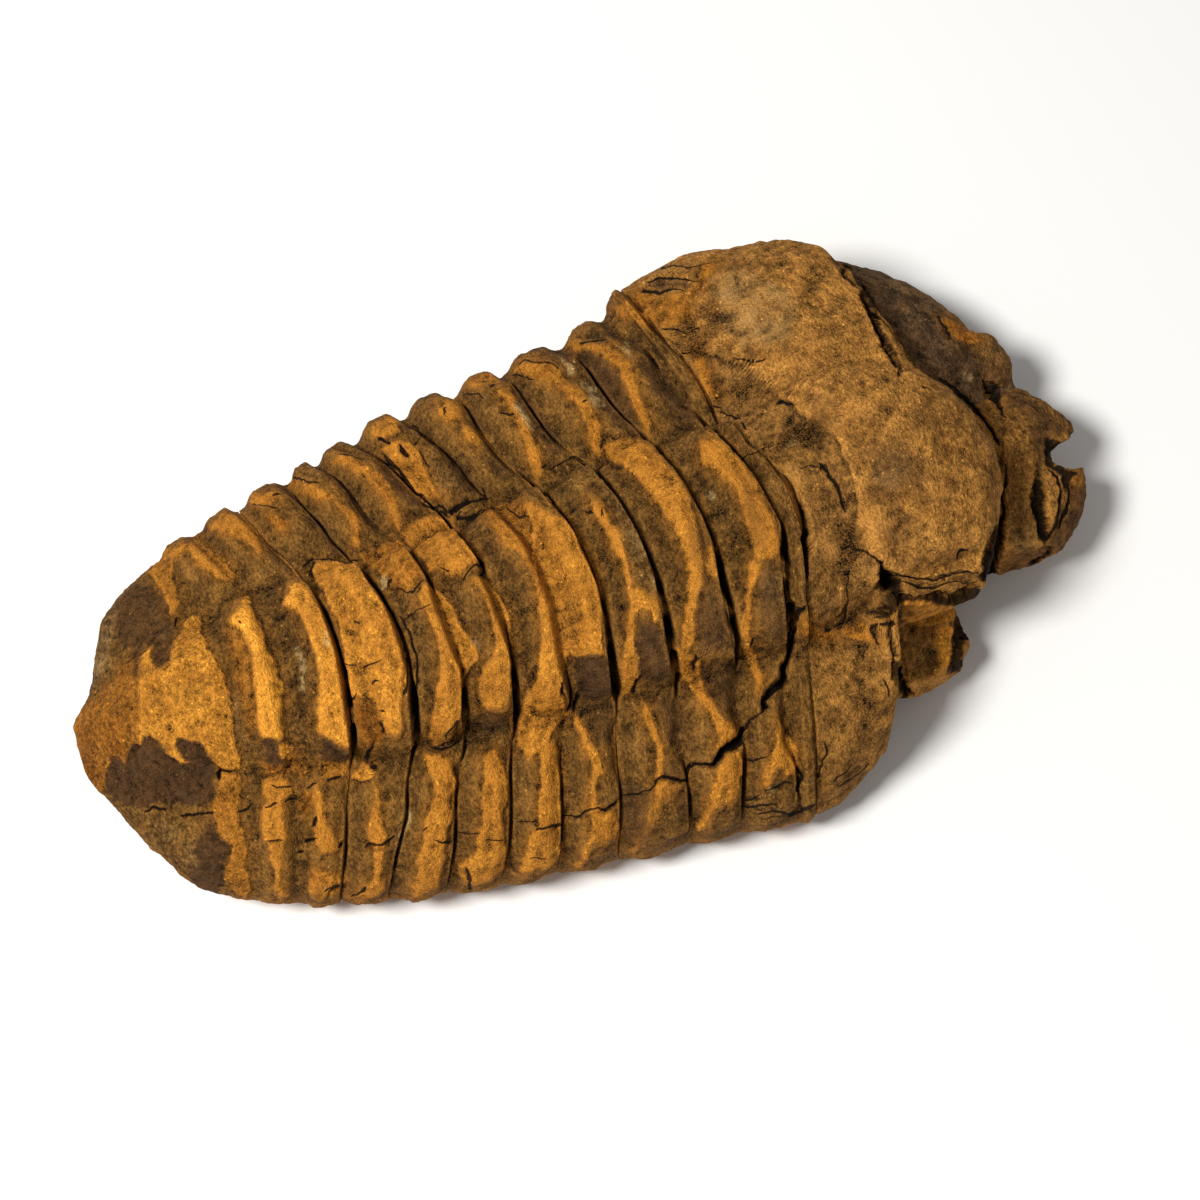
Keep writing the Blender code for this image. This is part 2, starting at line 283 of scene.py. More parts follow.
@dataclass(frozen=True)
class Patch:
    """An area drawn over the picture, such as a plate of crust.

    Attributes:
        outline: x and y of each corner in turn, in pixels.
        tone: darker than its kind below 0 and lighter above, from -1 to 1.
        rise_mm: how far it stands above the stone round it.
    """

    outline: Numbers
    tone: float = 0.0
    rise_mm: float = 0.0

    def inside_mm(self, spots: Array) -> Array:
        """Find how far each spot lies inside the outline.

        Args:
            spots: picture coordinates in pixels, as rows of xy.

        Returns:
            The distance inside the edge in mm, negative outside.
        """
        points = np.array(self.outline, dtype=float).reshape(-1, 2)
        nearest = np.full(len(spots), FAR_AWAY_PX)
        crossings = np.zeros(len(spots), dtype=int)
        for start, end in zip(points, np.roll(points, -1, axis=0)):
            along = end - start
            offset = spots - start
            share = np.clip(offset @ along / (along @ along), 0.0, 1.0)
            gap = offset - share[:, None] * along
            nearest = np.minimum(nearest, np.hypot(gap[:, 0], gap[:, 1]))
            spans = (start[1] > spots[:, 1]) != (end[1] > spots[:, 1])
            if along[1] != 0:
                at = start[0] + (spots[:, 1] - start[1]) * along[0] / along[1]
                crossings += spans & (spots[:, 0] < at)
        return np.where(crossings % 2 == 1, nearest, -nearest) / PX_PER_MM

    def box(self) -> tuple[Array, Array]:
        """Corners of the picture box that the area can reach."""
        points = np.array(self.outline, dtype=float).reshape(-1, 2)
        return points.min(axis=0) - REACH_PX, points.max(axis=0) + REACH_PX


# Marks further than this from a spot leave it alone
REACH_PX = 14.0
LINE_REACH_PX = 6.0
FAR_AWAY_PX = 1000.0

# The gaps between the rings as the picture shows them, tail to head: x, y and
# width of the black slot at each point, in pixels
GAP_ROUTES: tuple[Numbers, ...] = (
    (218,770,0, 217,800,0, 226,870,0, 230,893,0),
    (203,625,0, 215,655,0, 228,690,0, 235,730,0, 244,768,0, 248,800,1, 250,850,1, 253,897,1),
    (195,530,0, 222,560,1, 240,580,0, 252,596,0, 263,625,0, 277,660,0, 284,700,0, 292,757,0, 297,800,1,
     298,850,1, 299,899,0),
    (240,512,0, 250,520,1, 270,545,2, 290,560,1, 303,577,2, 322,605,4, 337,645,3, 345,680,5, 354,745,6,
     350,775,1, 347,800,2, 346,850,5, 341,900,3),
    (288,483,0, 300,503,3, 318,520,3, 335,545,2, 357,565,4, 370,580,6, 383,598,3, 405,640,2, 411,680,3,
     414,700,8, 417,740,9, 410,765,3, 407,790,4, 408,815,5, 402,835,4, 397,855,5, 390,893,3),
    (316,466,0, 335,475,2, 350,490,2, 370,520,1, 398,540,1, 410,553,5, 428,578,3, 447,615,0, 461,660,2,
     464,690,5, 466,720,9, 467,745,6, 460,765,1, 456,790,4, 456,845,5, 448,890,3),
    (350,442,0, 375,450,1, 395,470,3, 415,492,3, 440,510,3, 455,530,4, 478,558,4, 490,580,0, 503,610,1,
     512,660,3, 516,690,8, 517,720,7, 513,740,2, 510,770,4, 512,810,5, 510,850,4, 501,883,2),
    (400,416,0, 415,425,1, 450,455,2, 480,493,2, 497,507,0, 530,540,0, 556,600,0, 565,660,1, 572,700,3,
     566,720,1, 560,760,2, 562,790,4, 563,820,4, 562,850,3, 558,873,2),
    (450,394,0, 465,403,3, 480,430,2, 510,465,0, 538,484,4, 552,503,7, 566,520,4, 585,550,2, 600,590,3,
     606,620,5, 611,650,8, 617,690,10, 618,705,4, 616,730,1, 619,770,2, 622,800,4, 621,835,3, 618,860,2),
    (498,372,0, 515,385,3, 535,415,3, 555,440,2, 575,455,1, 592,466,5, 605,482,7, 622,503,4, 640,535,3,
     655,570,5, 663,600,8, 671,640,10, 677,675,9, 676,700,2, 680,740,1, 687,775,3, 690,800,6, 691,825,5,
     688,838,2),
    (562,349,0, 580,358,3, 600,385,3, 620,415,3, 640,430,3, 655,446,6, 668,462,6, 684,480,3, 700,510,3,
     716,545,5, 722,575,8, 730,610,11, 737,645,9, 738,665,2, 738,700,0, 745,735,2, 745,760,6, 744,795,7,
     742,822,2),
    (616,330,0, 638,342,1, 650,356,3, 662,375,1, 690,408,1, 713,430,5, 728,445,8, 737,454,6, 748,466,3,
     758,483,3, 770,503,2, 780,518,2, 786,530,4, 783,545,8, 786,565,11, 789,590,12, 792,615,12, 790,640,9,
     789,655,3, 786,690,0, 788,740,1, 797,765,3, 799,790,4, 800,812,1),
    (617,326,0, 631,328,4, 645,331,5, 658,333,3, 668,343,1, 680,354,2, 692,365,2, 703,388,2, 710,403,3,
     717,425,2, 735,437,0, 760,452,0, 788,469,1, 795,482,3, 800,502,4, 806,520,5, 808,535,6, 806,548,6,
     806,565,5, 808,580,3, 803,592,1, 801,604,0),
)

# Share of each ring, from the gap behind it to the gap ahead, that its ochre
# crust covers: on the near ribs, on the axis and on the far ribs
CRUST_SHARES: tuple[tuple[Span, Span, Span], ...] = (
    ((0.0, 1.0), (0.0, 1.0), (0.5, 1.0)),
    ((0.30, 0.85), (0.50, 1.0), (0.55, 0.95)),
    ((0.36, 0.86), (0.58, 0.96), (0.60, 0.95)),
    ((0.30, 0.70), (0.06, 0.94), (0.60, 0.95)),
    ((0.45, 0.88), (0.50, 0.97), (0.62, 0.95)),
    ((0.58, 0.90), (0.42, 0.96), (0.60, 0.90)),
    ((0.54, 0.94), (0.50, 1.0), (0.60, 0.95)),
    ((0.45, 0.93), (0.0, 0.98), (0.65, 0.95)),
    ((0.40, 0.64), (0.26, 0.42), (0.72, 0.98)),
    ((0.68, 0.98), (0.30, 0.50), (0.62, 0.96)),
    ((0.45, 0.90), (0.26, 0.42), (0.55, 0.92)),
    ((0.40, 0.80), (0.10, 0.90), (0.50, 0.90)),
)


@dataclass(frozen=True)
class BodyPlan:
    """The animal's plain form, without relief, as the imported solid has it.

    Each curve is a row of x with y or z there, in mm.

    Attributes:
        axis_share: share of the half back that the axis takes.
        axis_fullness: 1 rounds the axis as an ellipse, and less makes it fuller.
        rib_fullness: the same for the ribs.
        tail_tip: the tail's tip.
        head_tip: the foremost point of the head.
        gaps: x of each gap between rings at the right edge, the right furrow,
            the crest, the left furrow and the left edge.
        right_edge: y of the right edge, and so on for the next three.
        crest_z: height of the crest, and so on for the next five.
        belly_undercut: below 1 the belly is boxier, above 1 more hollow.
    """

    axis_share: float = 0.44
    axis_fullness: float = 0.75
    rib_fullness: float = 0.8
    tail_tip: tuple[float, float, float] = (-38.9, 2.0, 5.5)
    head_tip: tuple[float, float, float] = (30.4, 0.5, 11.5)
    gaps: tuple[tuple[float, ...], ...] = (
        (-31.5, -29.8, -29.4, -29.8, -31.6),
        (-30.0, -28.0, -27.4, -27.8, -30.0),
        (-26.9, -24.6, -23.5, -23.9, -27.4),
        (-24.1, -20.3, -19.2, -20.1, -22.8),
        (-20.8, -16.1, -14.6, -16.2, -18.8),
        (-16.8, -12.2, -11.2, -12.6, -16.4),
        (-12.9, -8.3, -7.3, -8.9, -13.4),
        (-8.8, -4.7, -3.7, -5.4, -9.4),
        (-4.4, -1.3, -0.6, -2.0, -5.3),
        (0.8, 3.2, 3.5, 2.0, -1.4),
        (4.7, 7.6, 8.0, 6.7, 3.7),
        (8.9, 12.0, 12.5, 11.0, 8.4),
        (11.6, 13.6, 14.2, 12.4, 9.6),
    )
    right_edge: Numbers = (
        -38.9,2, -38.7,0, -37.6,-3, -35.5,-7.2, -32.7,-10.8, -28.1,-13, -22.6,-14.7, -14.8,-16.1,
        -6.7,-17.1, 4,-17.9, 10.5,-18.6, 14.2,-17.5, 16.6,-16, 17.8,-14.4, 18.4,-12.6, 18.7,-10, 19.6,-8.8,
        25.4,-8.8, 27.9,-6.4, 29,-4.4, 30,-1.6, 30.4,0.5,
    )
    left_edge: Numbers = (
        -38.9,2, -38.5,3.8, -37.1,5.4, -36.4,6.8, -35.9,8.4, -34.6,11, -31.6,13.3, -27.4,14.9, -18.8,17,
        -9.4,19.5, 0,20.6, 6.6,21.8, 8,22.7, 11.1,23.6, 14.6,23.9, 17.4,23.4, 20.4,23, 23,21.6, 24.6,19.2,
        25.5,15, 26.1,11, 27,8.4, 28.6,6.6, 29.8,3.8, 30.4,0.5,
    )
    right_furrow: Numbers = (
        -38.9,2, -37,-0.6, -34,-3, -28,-5, -20.3,-6.5, -16,-7.3, -8.3,-7.4, -1.3,-8.1, 12.1,-8.3, 16.5,-7.8,
        20,-6.9, 26,-6.8, 28.6,-4, 30.4,0.5,
    )
    left_furrow: Numbers = (
        -38.9,2, -37,4.2, -34,5.2, -27.8,6, -23,7.1, -16.2,6.5, -8.9,6.8, -2,8, 6.7,8.7, 13,8.3, 18,9,
        23,8.5, 26.4,6.8, 28.6,4.6, 30.4,0.5,
    )
    crest_z: Numbers = (
        -38.9,5.5, -38.4,7.2, -37,9, -34,10.8, -29,12.9, -20,14.8, -10,16, 2,16.6, 14,16.7, 16.8,16.8,
        19.2,18.2, 22.6,18.8, 26,18.2, 28.5,16.6, 29.8,14.4, 30.4,11.5,
    )
    right_furrow_z: Numbers = (
        -38.9,5.5, -37,7, -34,8.4, -29,9.8, -22,10.8, -8,11.4, 12,11.6, 16,12, 19,14.6, 26,14.8, 28.6,13.8,
        30.4,11.5,
    )
    left_furrow_z: Numbers = (
        -38.9,5.5, -37,7.2, -34,9, -29,10.3, -22,11, -8,11.6, 8,12, 13,13.4, 19,15.8, 25,15.6, 28.6,14,
        30.4,11.5,
    )
    right_edge_z: Numbers = (
        -38.9,5.5, -36,4.6, -30,3.8, -20,3.4, 10,3.4, 15,4, 17.4,6, 19.2,9.4, 26,10, 30.4,11.5,
    )
    left_edge_z: Numbers = (
        -38.9,5.5, -36,5, -30,4.6, -8,4.6, 5,5, 9.5,7.4, 20,8.4, 25,9.4, 27,10.8, 30.4,11.5,
    )
    belly_z: Numbers = (
        -38.9,5.5, -38.2,3.4, -36,2.2, -32,1.2, -26,0.4, -19,-0.3, 13,-0.3, 18,0.5, 24,2.2, 28,5.5,
        30.4,11.5,
    )
    belly_undercut: Numbers = (-38.9,1, -30,0.7, 13,0.6, 18,1.1, 30.4,1.2)

    def lines(self, ring: Array) -> Array:
        """Where a section crosses the edges, the furrows and the crest.

        Args:
            ring: place along the animal, counted in gaps: -1 is the tail's tip,
                0 the first gap and so on, and one past the last gap the front.

        Returns:
            Five x values in mm for each place, as in gaps.
        """
        rows = np.array(self.gaps)
        last = len(rows) - 1
        whole = np.clip(ring, 0, last)
        lines = np.stack([np.interp(whole, range(last + 1), column) for column in rows.T], axis=-1)
        tail = (1 - np.cos(np.clip(ring + 1, 0, 1) * math.pi / 2))[..., None]
        head = np.sin(np.clip(ring - last, 0, 1) * math.pi / 2)[..., None]
        rear = self.tail_tip[0] + (rows[0] - self.tail_tip[0]) * tail
        lines = np.where((ring < 0)[..., None], rear, lines)
        front = rows[-1] + (self.head_tip[0] - rows[-1]) * head
        return np.where((ring > last)[..., None], front, lines)

    def back(self, ring: Array, across: float) -> Array:
        """Points along the back at one share across it.

        Args:
            ring: places along the animal, counted in gaps.
            across: -1 on the right edge, 0 on the crest and 1 on the left edge.

        Returns:
            The points in mm, with xyz last.
        """
        right_edge, right_furrow, crest, left_furrow, left_edge = self.lines(ring).T
        on_left = across > 0
        furrow_x = left_furrow if on_left else right_furrow
        edge_x = left_edge if on_left else right_edge
        furrow_y = smooth_curve(self.left_furrow if on_left else self.right_furrow, furrow_x)
        furrow_z = smooth_curve(self.left_furrow_z if on_left else self.right_furrow_z, furrow_x)
        if abs(across) <= self.axis_share:
            turn = abs(across) / self.axis_share * math.pi / 2
            middle_y = (smooth_curve(self.left_furrow, crest) + smooth_curve(self.right_furrow, crest)) / 2
            rise = max(math.cos(turn), 0.0)
            x = furrow_x + (crest - furrow_x) * rise
            y = middle_y + (furrow_y - middle_y) * math.sin(turn)
            z = furrow_z + (smooth_curve(self.crest_z, crest) - furrow_z) * rise**self.axis_fullness
            return np.stack((x, y, z), axis=-1)
        turn = (abs(across) - self.axis_share) / (1 - self.axis_share) * math.pi / 2
        edge_y = smooth_curve(self.left_edge if on_left else self.right_edge, edge_x)
        edge_z = smooth_curve(self.left_edge_z if on_left else self.right_edge_z, edge_x)
        out = math.sin(turn)
        x = furrow_x + (edge_x - furrow_x) * out
        y = furrow_y + (edge_y - furrow_y) * out
        z = edge_z + (furrow_z - edge_z) * max(math.cos(turn), 0.0) ** self.rib_fullness
        return np.stack((x, y, z), axis=-1)

    def belly(self, ring: Array, share: float) -> Array:
        """Points along the belly at one share of the way from the left edge to the right.

        Args:
            ring: places along the animal, counted in gaps.
            share: 0 on the left edge and 1 on the right.

        Returns:
            The points in mm, with xyz last.
        """
        right_edge, _, crest, _, left_edge = self.lines(ring).T
        lean = math.cos(share * math.pi)
        towards_left = (1 + lean) / 2
        x = crest + ((left_edge if lean > 0 else right_edge) - crest) * abs(lean)
        left_y, right_y = smooth_curve(self.left_edge, left_edge), smooth_curve(self.right_edge, right_edge)
        left_z = smooth_curve(self.left_edge_z, left_edge)
        right_z = smooth_curve(self.right_edge_z, right_edge)
        y = left_y * towards_left + right_y * (1 - towards_left)
        edge_z = left_z * towards_left + right_z * (1 - towards_left)
        floor_z = smooth_curve(self.belly_z, crest)
        depth = math.sin(share * math.pi) ** smooth_curve(self.belly_undercut, crest)
        return np.stack((x, y, edge_z + (floor_z - edge_z) * depth), axis=-1)


PLAN = BodyPlan()


class Mark(Enum):
    """What a surface carries, as attributes that the stone's finish reads."""

    CRUST = "crust"
    CRUST_TONE = "crust_tone"
    # Chocolate films, and painted shade where a patch is named for shade or shadow
    STAIN_AND_SHADE = "stain"
    GREY = "grey"
    BLEACH = "bleach"
    SAND = "sand"
    GLOOM = "gloom"
    # Where the cracks lie, for the painted shade in them
    LINE_SIDE = "line_side"
    LINE_NEAR = "line_near"
    LINE_HALF = "line_half"
    # Painted black shade in the pits and the slots
    HOLLOW_SHADE = "hollow"
    # Painted light on raised places and painted shade in hollows
    RELIEF_LIGHT_AND_SHADE = "worn"


# Cracks, cut into the relief and painted dark as shade
CRACKS: dict[str, Stroke] = {
    "rib_break": Stroke((687,777,1, 689,768,2, 697,763,2, 713,763,3, 718,757,5, 724,750,8, 733,747,10,
     740,742,9, 743,732,4, 750,723,1), 1.0),
    "cheek_break": Stroke((746,724,1, 762,711,1.5, 765,706,5, 763,700,4, 768,693,6, 778,686,8, 785,680,6,
     784,668,6, 788,660,4, 791,645,3, 795,628,4), 1.0),
    "cheek_spur": Stroke((795,620,5, 799,612,5, 805,608,4), 0.6),
    "rib_ten_step": Stroke((654,780,2, 660,776,3, 672,779,3, 687,781,3), 0.4),
    "rib_nine_step": Stroke((625,796,1.5, 640,794,1.5, 650,790,1.5, 656,781,2), 0.3),
    "rib_eight_step": Stroke((560,815,1, 575,818,1.5, 588,811,2, 598,808,1.5, 606,809,3, 616,804,3,
     622,798,3), 0.35),
    "rib_seven": Stroke((536,830,2, 545,828,2, 561,824,2), 0.25),
    "rib_seven_spot": Stroke((534,822,3, 536,818,1), 0.2),
    "rib_seven_line": Stroke((518,822,1, 534,820,1), 0.15),
    "rib_seven_low": Stroke((530,860,1, 545,860,1), 0.15),
    "rib_six": Stroke((458,832,1.2, 470,833,1.2, 480,832,1), 0.2),
    "rib_six_plate": Stroke((485,841,1, 503,840,1), 0.15),
    "rib_six_low": Stroke((466,868,2, 468,878,2.5, 470,889,3), 0.3),
    "rib_five": Stroke((434,841,1, 444,843,2, 453,841,2), 0.25),
    "rib_five_spot": Stroke((424,832,2, 428,828,3), 0.25),
    "rib_four": Stroke((364,846,2, 369,844,2.5, 376,845,2, 382,844,2.5, 388,840,3, 396,836,1.5), 0.35),
    "rib_four_low": Stroke((351,896,2, 358,893,2, 366,888,3), 0.35),
    "rib_three": Stroke((341,846,4, 347,843,3), 0.35),
    "rib_three_low": Stroke((326,892,2, 333,887,4, 342,886,3, 346,888,2), 0.35),
    "rib_two": Stroke((268,841,2, 282,840,2), 0.25),
    "rib_two_low": Stroke((306,840,3, 315,838,3), 0.35),
    "rib_two_pit": Stroke((299,853,3, 303,852,3), 0.3),
    "rib_three_pit": Stroke((315,824,3, 316,816,4), 0.35),
    "furrow_one": Stroke((238,812,1, 245,811,2, 252,805,1.5), 0.2),
    "furrow_two": Stroke((264,808,1, 269,806,2, 276,803,2), 0.25),
    "furrow_two_end": Stroke((283,804,1, 290,800,2, 297,798,1), 0.2),
    "furrow_two_fine": Stroke((272,786,1, 282,788,1.5, 292,787,1), 0.15),
    "furrow_three": Stroke((306,788,2, 312,783,2, 316,783,1), 0.3),
    "furrow_three_end": Stroke((329,781,2, 335,779,3, 340,776,2), 0.3),
    "furrow_four": Stroke((367,760,3, 371,751,2, 376,742,1), 0.3),
    "furrow_four_spot": Stroke((372,766,4, 376,766,3), 0.25),
    "furrow_four_line": Stroke((350,779,1, 362,781,1, 372,778,1), 0.15),
    "tail_flank": Stroke((181,816,2, 188,815,2, 196,815,2.5, 212,812,2), 0.35),
    "tail_flank_low": Stroke((147,813,2, 154,809,2, 165,809,2), 0.3),
    "tail_notch": Stroke((219,779,3, 219,772,4, 221,768,2, 226,771,2, 234,772,1), 0.5),
    "tail_nick": Stroke((175,624,2, 178,618,2), 0.2),
    "ridge_two_nick": Stroke((238,620,2, 241,622,3), 0.25),
    "plate_corner": Stroke((303,568,1, 309,563,2, 313,560,2), 0.3),
    "plate_corner_low": Stroke((315,564,1.5, 311,570,2.5, 312,577,2), 0.3),
    "plate_top": Stroke((316,560,1, 330,560,1, 345,562,1, 356,562,2), 0.15),
    "plate_mark": Stroke((354,621,2, 358,622,2), 0.2),
    "plate_mark_two": Stroke((345,662,1.5, 357,664,1), 0.2),
    "plate_mark_three": Stroke((364,667,2.5, 371,665,1.5, 381,660,1), 0.25),
    "plate_mark_four": Stroke((372,684,1.5, 376,681,2, 380,681,1), 0.2),
    "plate_mark_five": Stroke((353,700,3, 355,696,2, 358,692,1), 0.3),
    "plate_mark_six": Stroke((380,711,2, 384,711,2), 0.2),
    "plate_mark_seven": Stroke((381,722,2, 383,731,3), 0.3),
    "plate_rim": Stroke((386,603,1, 393,615,2, 399,632,1.5, 404,650,1.5, 407,668,1.5, 406,686,2, 404,696,2),
     0.25),
    "plate_rim_outer": Stroke((400,616,1, 405,622,2, 410,634,1.5, 414,648,2, 417,662,2, 418,678,2,
     416,700,2), 0.25),
    "ring_four_fine": Stroke((403,620,1, 414,613,1, 428,604,1), 0.2),
    "ring_four_seam": Stroke((396,589,1, 406,592,1.5, 414,591,2, 419,585,2, 424,581,1), 0.25),
    "ring_four_nick": Stroke((389,586,3, 391,580,2), 0.25),
    "ring_five_fine": Stroke((441,569,1, 449,571,1.5), 0.15),
    "ring_five_fold": Stroke((462,578,2, 468,573,1.5, 474,567,2, 482,563,2), 0.3),
    "ring_five_end": Stroke((481,562,2, 483,570,2, 481,576,3), 0.3),
    "ring_five_foot": Stroke((432,748,1.5, 442,749,2, 452,745,2, 460,741,2), 0.25),
    "ring_five_foot_two": Stroke((447,740,1, 451,732,2, 458,722,1.5), 0.25),
    "recess_top": Stroke((440,511,2, 450,512,5, 457,508,7, 466,503,4, 478,500,2, 486,501,2), 0.7),
    "recess_low": Stroke((457,519,3, 466,520,3, 475,517,2, 481,511,1), 0.5),
    "recess_side": Stroke((481,486,1, 484,492,2, 486,499,2), 0.4),
    "recess_left": Stroke((423,505,2, 432,510,2, 440,506,2, 448,509,2), 0.3),
    "fragment_edge": Stroke((381,450,1, 392,463,2, 402,476,3, 411,487,2, 417,493,3, 424,496,3), 0.5),
    "fragment_lens": Stroke((401,446,3, 404,451,5, 407,457,3), 0.4),
    "fragment_top": Stroke((380,438,4, 384,441,2, 388,443,2), 0.4),
    "fragment_line": Stroke((413,424,1.5, 418,429,1.5, 422,435,1.5, 420,441,1, 416,446,2), 0.3),
    "fragment_ridge": Stroke((421,452,1, 425,460,1.5, 429,467,1.5), 0.2),
    "ring_seven_one": Stroke((562,684,3, 564,695,2), 0.25),
    "ring_seven_two": Stroke((578,694,3, 575,702,3, 575,711,3), 0.3),
    "ring_eight": Stroke((634,692,3, 635,684,3, 639,674,1), 0.3),
    "ring_nine": Stroke((694,671,1, 692,664,3, 696,654,2), 0.3),
    "ring_ten": Stroke((750,647,2, 752,641,3), 0.25),
    "pit_one": Stroke((586,513,4, 592,513,3), 0.3),
    "pit_two": Stroke((601,511,2, 602,517,3), 0.3),
    "ring_six_fine": Stroke((507,508,1, 518,516,1.5, 530,517,1), 0.15),
    "far_rib_one": Stroke((500,412,2, 507,413,1.5, 514,414,3), 0.25),
    "far_rib_two": Stroke((489,388,3, 492,386,2), 0.25),
    "far_rib_three": Stroke((445,413,3, 445,409,3), 0.3),
    "far_rib_four": Stroke((582,401,2, 586,400,2), 0.2),
    "far_rib_five": Stroke((362,474,2, 365,478,2), 0.2),
    "far_notch": Stroke((602,449,2, 602,444,2, 604,441,1), 0.3),
    "far_furrow": Stroke((542,468,2, 546,465,2), 0.2),
    "far_furrow_line": Stroke((552,469,1, 560,463,1.5, 568,459,1, 580,458,1.5, 587,462,1), 0.15),
    "far_edge_one": Stroke((579,342,2.5, 590,341,2, 604,340,1.5), 0.35),
    "far_edge_two": Stroke((514,375,2, 525,376,1.5, 536,379,1), 0.25),
    "far_edge_three": Stroke((462,395,1, 470,394,1.5, 482,397,1), 0.2),
    "far_edge_four": Stroke((288,480,1, 300,478,2, 318,482,1.5), 0.25),
    "far_edge_five": Stroke((340,454,2, 350,455,1.5, 362,460,1), 0.25),
    "far_edge_six": Stroke((521,363,2, 530,360,1, 548,362,1, 558,368,1), 0.2),
    "far_edge_seven": Stroke((273,496,2, 282,496,1), 0.2),
    "far_edge_eight": Stroke((253,504,1, 265,505,1, 277,509,1), 0.2),
    "genal_fine": Stroke((662,329,1, 672,330,1.5, 682,330,1, 690,334,1), 0.2),
    "shield_fine": Stroke((735,358,1, 745,359,2, 756,361,2, 767,358,1.5), 0.3),
    "shield_pair": Stroke((776,405,2, 780,402,3, 785,405,3, 791,405,3), 0.35),
    "shield_mark": Stroke((921,387,3, 925,389,1, 931,392,1), 0.2),
    "collar_one": Stroke((722,413,1.5, 732,415,2, 741,419,2), 0.25),
    "collar_end": Stroke((744,422,2, 746,429,2), 0.25),
    "collar_two": Stroke((713,407,1.5, 717,409,2, 722,409,1), 0.2),
    "collar_pit": Stroke((763,449,3, 765,450,3), 0.25),
    "collar_line": Stroke((742,458,1, 752,455,1, 760,451,1), 0.15),
    "nape_long": Stroke((820,467,6, 823,469,4, 829,476,2, 835,486,2.5, 840,498,2.5, 843,508,3, 845,513,1),
     0.45),
    "nape_short": Stroke((802,470,1, 810,468,1, 818,468,1), 0.15),
    "nape_foot": Stroke((842,623,2, 845,615,3, 847,606,2), 0.3),
    "nape_line": Stroke((847,604,1, 845,588,1.5, 849,570,1), 0.15),
    "nape_nick": Stroke((827,631,4, 832,628,2), 0.3),
    "shield_rim": Stroke((853,542,1, 857,549,2, 866,553,1.5, 876,558,2, 882,564,4), 0.4),
    "brow_line": Stroke((940,378,1, 952,387,2, 964,397,3, 978,412,2.5, 990,428,2.5, 998,440,3, 1000,446,1),
     0.6),
    "brow_front": Stroke((1006,464,1, 1005,480,2, 1003,495,2.5, 1004,512,3, 1002,526,6), 0.8),
    "brow_slot": Stroke((1002,524,4, 999,538,8, 993,556,9, 988,570,9, 985,580,5), 1.2),
    "brow_nick": Stroke((957,560,1, 958,553,2, 961,549,3, 969,548,1), 0.3),
    "rim_layer_one": Stroke((890,574,3, 903,577,2, 917,580,1.5, 935,580,2, 948,575,1.5, 962,573,1.5,
     980,572,1), 0.35),
    "rim_layer_two": Stroke((902,583,1.5, 914,586,2.5, 930,589,2, 945,584,1.5, 958,582,1, 975,584,1), 0.35),
    "rim_layer_three": Stroke((985,582,1, 1000,580,2, 1018,575,1, 1030,566,1.5), 0.3),
    "rim_layer_four": Stroke((1010,583,1, 1024,575,1, 1034,566,1), 0.2),
    "cheek_top": Stroke((872,626,1.5, 884,624,3, 894,624,5), 0.6),
    "cheek_front": Stroke((871,627,2, 875,637,2, 877,646,1), 0.4),
    "cheek_front_low": Stroke((883,678,1.5, 887,687,2, 891,697,1), 0.25),
    "cheek_layer_one": Stroke((838,786,1, 850,779,2, 862,770,1.5, 870,762,1), 0.25),
    "cheek_layer_two": Stroke((833,782,1, 842,774,1.5, 852,765,1), 0.2),
    "cheek_seam": Stroke((825,742,1, 827,755,2, 820,770,2, 817,778,2), 0.25),
    "cheek_pits": Stroke((798,770,3, 803,776,3, 798,785,3, 796,792,2), 0.35),
    "cheek_step": Stroke((746,799,2, 760,797,1.5), 0.3),
    "cheek_ticks": Stroke((764,792,2, 775,788,2, 786,783,2, 792,784,1), 0.3),
    "cheek_band": Stroke((738,805,1, 750,806,2, 765,806,2, 778,804,1), 0.25),
    "cheek_low": Stroke((760,814,2, 775,810,2, 790,815,3, 800,811,4, 815,805,2), 0.3),
    "cheek_rib": Stroke((746,759,1, 757,760,1.5, 768,757,1), 0.2),
    "dome_line": Stroke((937,316,2, 943,324,1.5, 951,337,2), 0.3),
    "genal_top": Stroke((649,284,3, 662,280,2, 680,279,2, 702,281,1), 0.3),
    "genal_line": Stroke((643,293,3, 652,293,2, 670,291,2, 685,292,1), 0.3),
    "genal_fibre": Stroke((660,270,1, 675,267,1.5, 690,266,1, 708,265,1), 0.15),
    "hook_crack": Stroke((999,406,2, 1003,412,1.5, 1007,417,1), 0.4),
    "top_crack": Stroke((1032,407,2, 1040,413,1), 0.3),
    "lip_groove": Stroke((1048,470,1, 1056,476,2, 1060,488,2, 1060,505,2, 1056,522,2, 1047,540,3), 0.4),
    "lip_groove_two": Stroke((1070,482,2, 1069,495,2, 1066,510,3, 1060,528,2), 0.35),
}
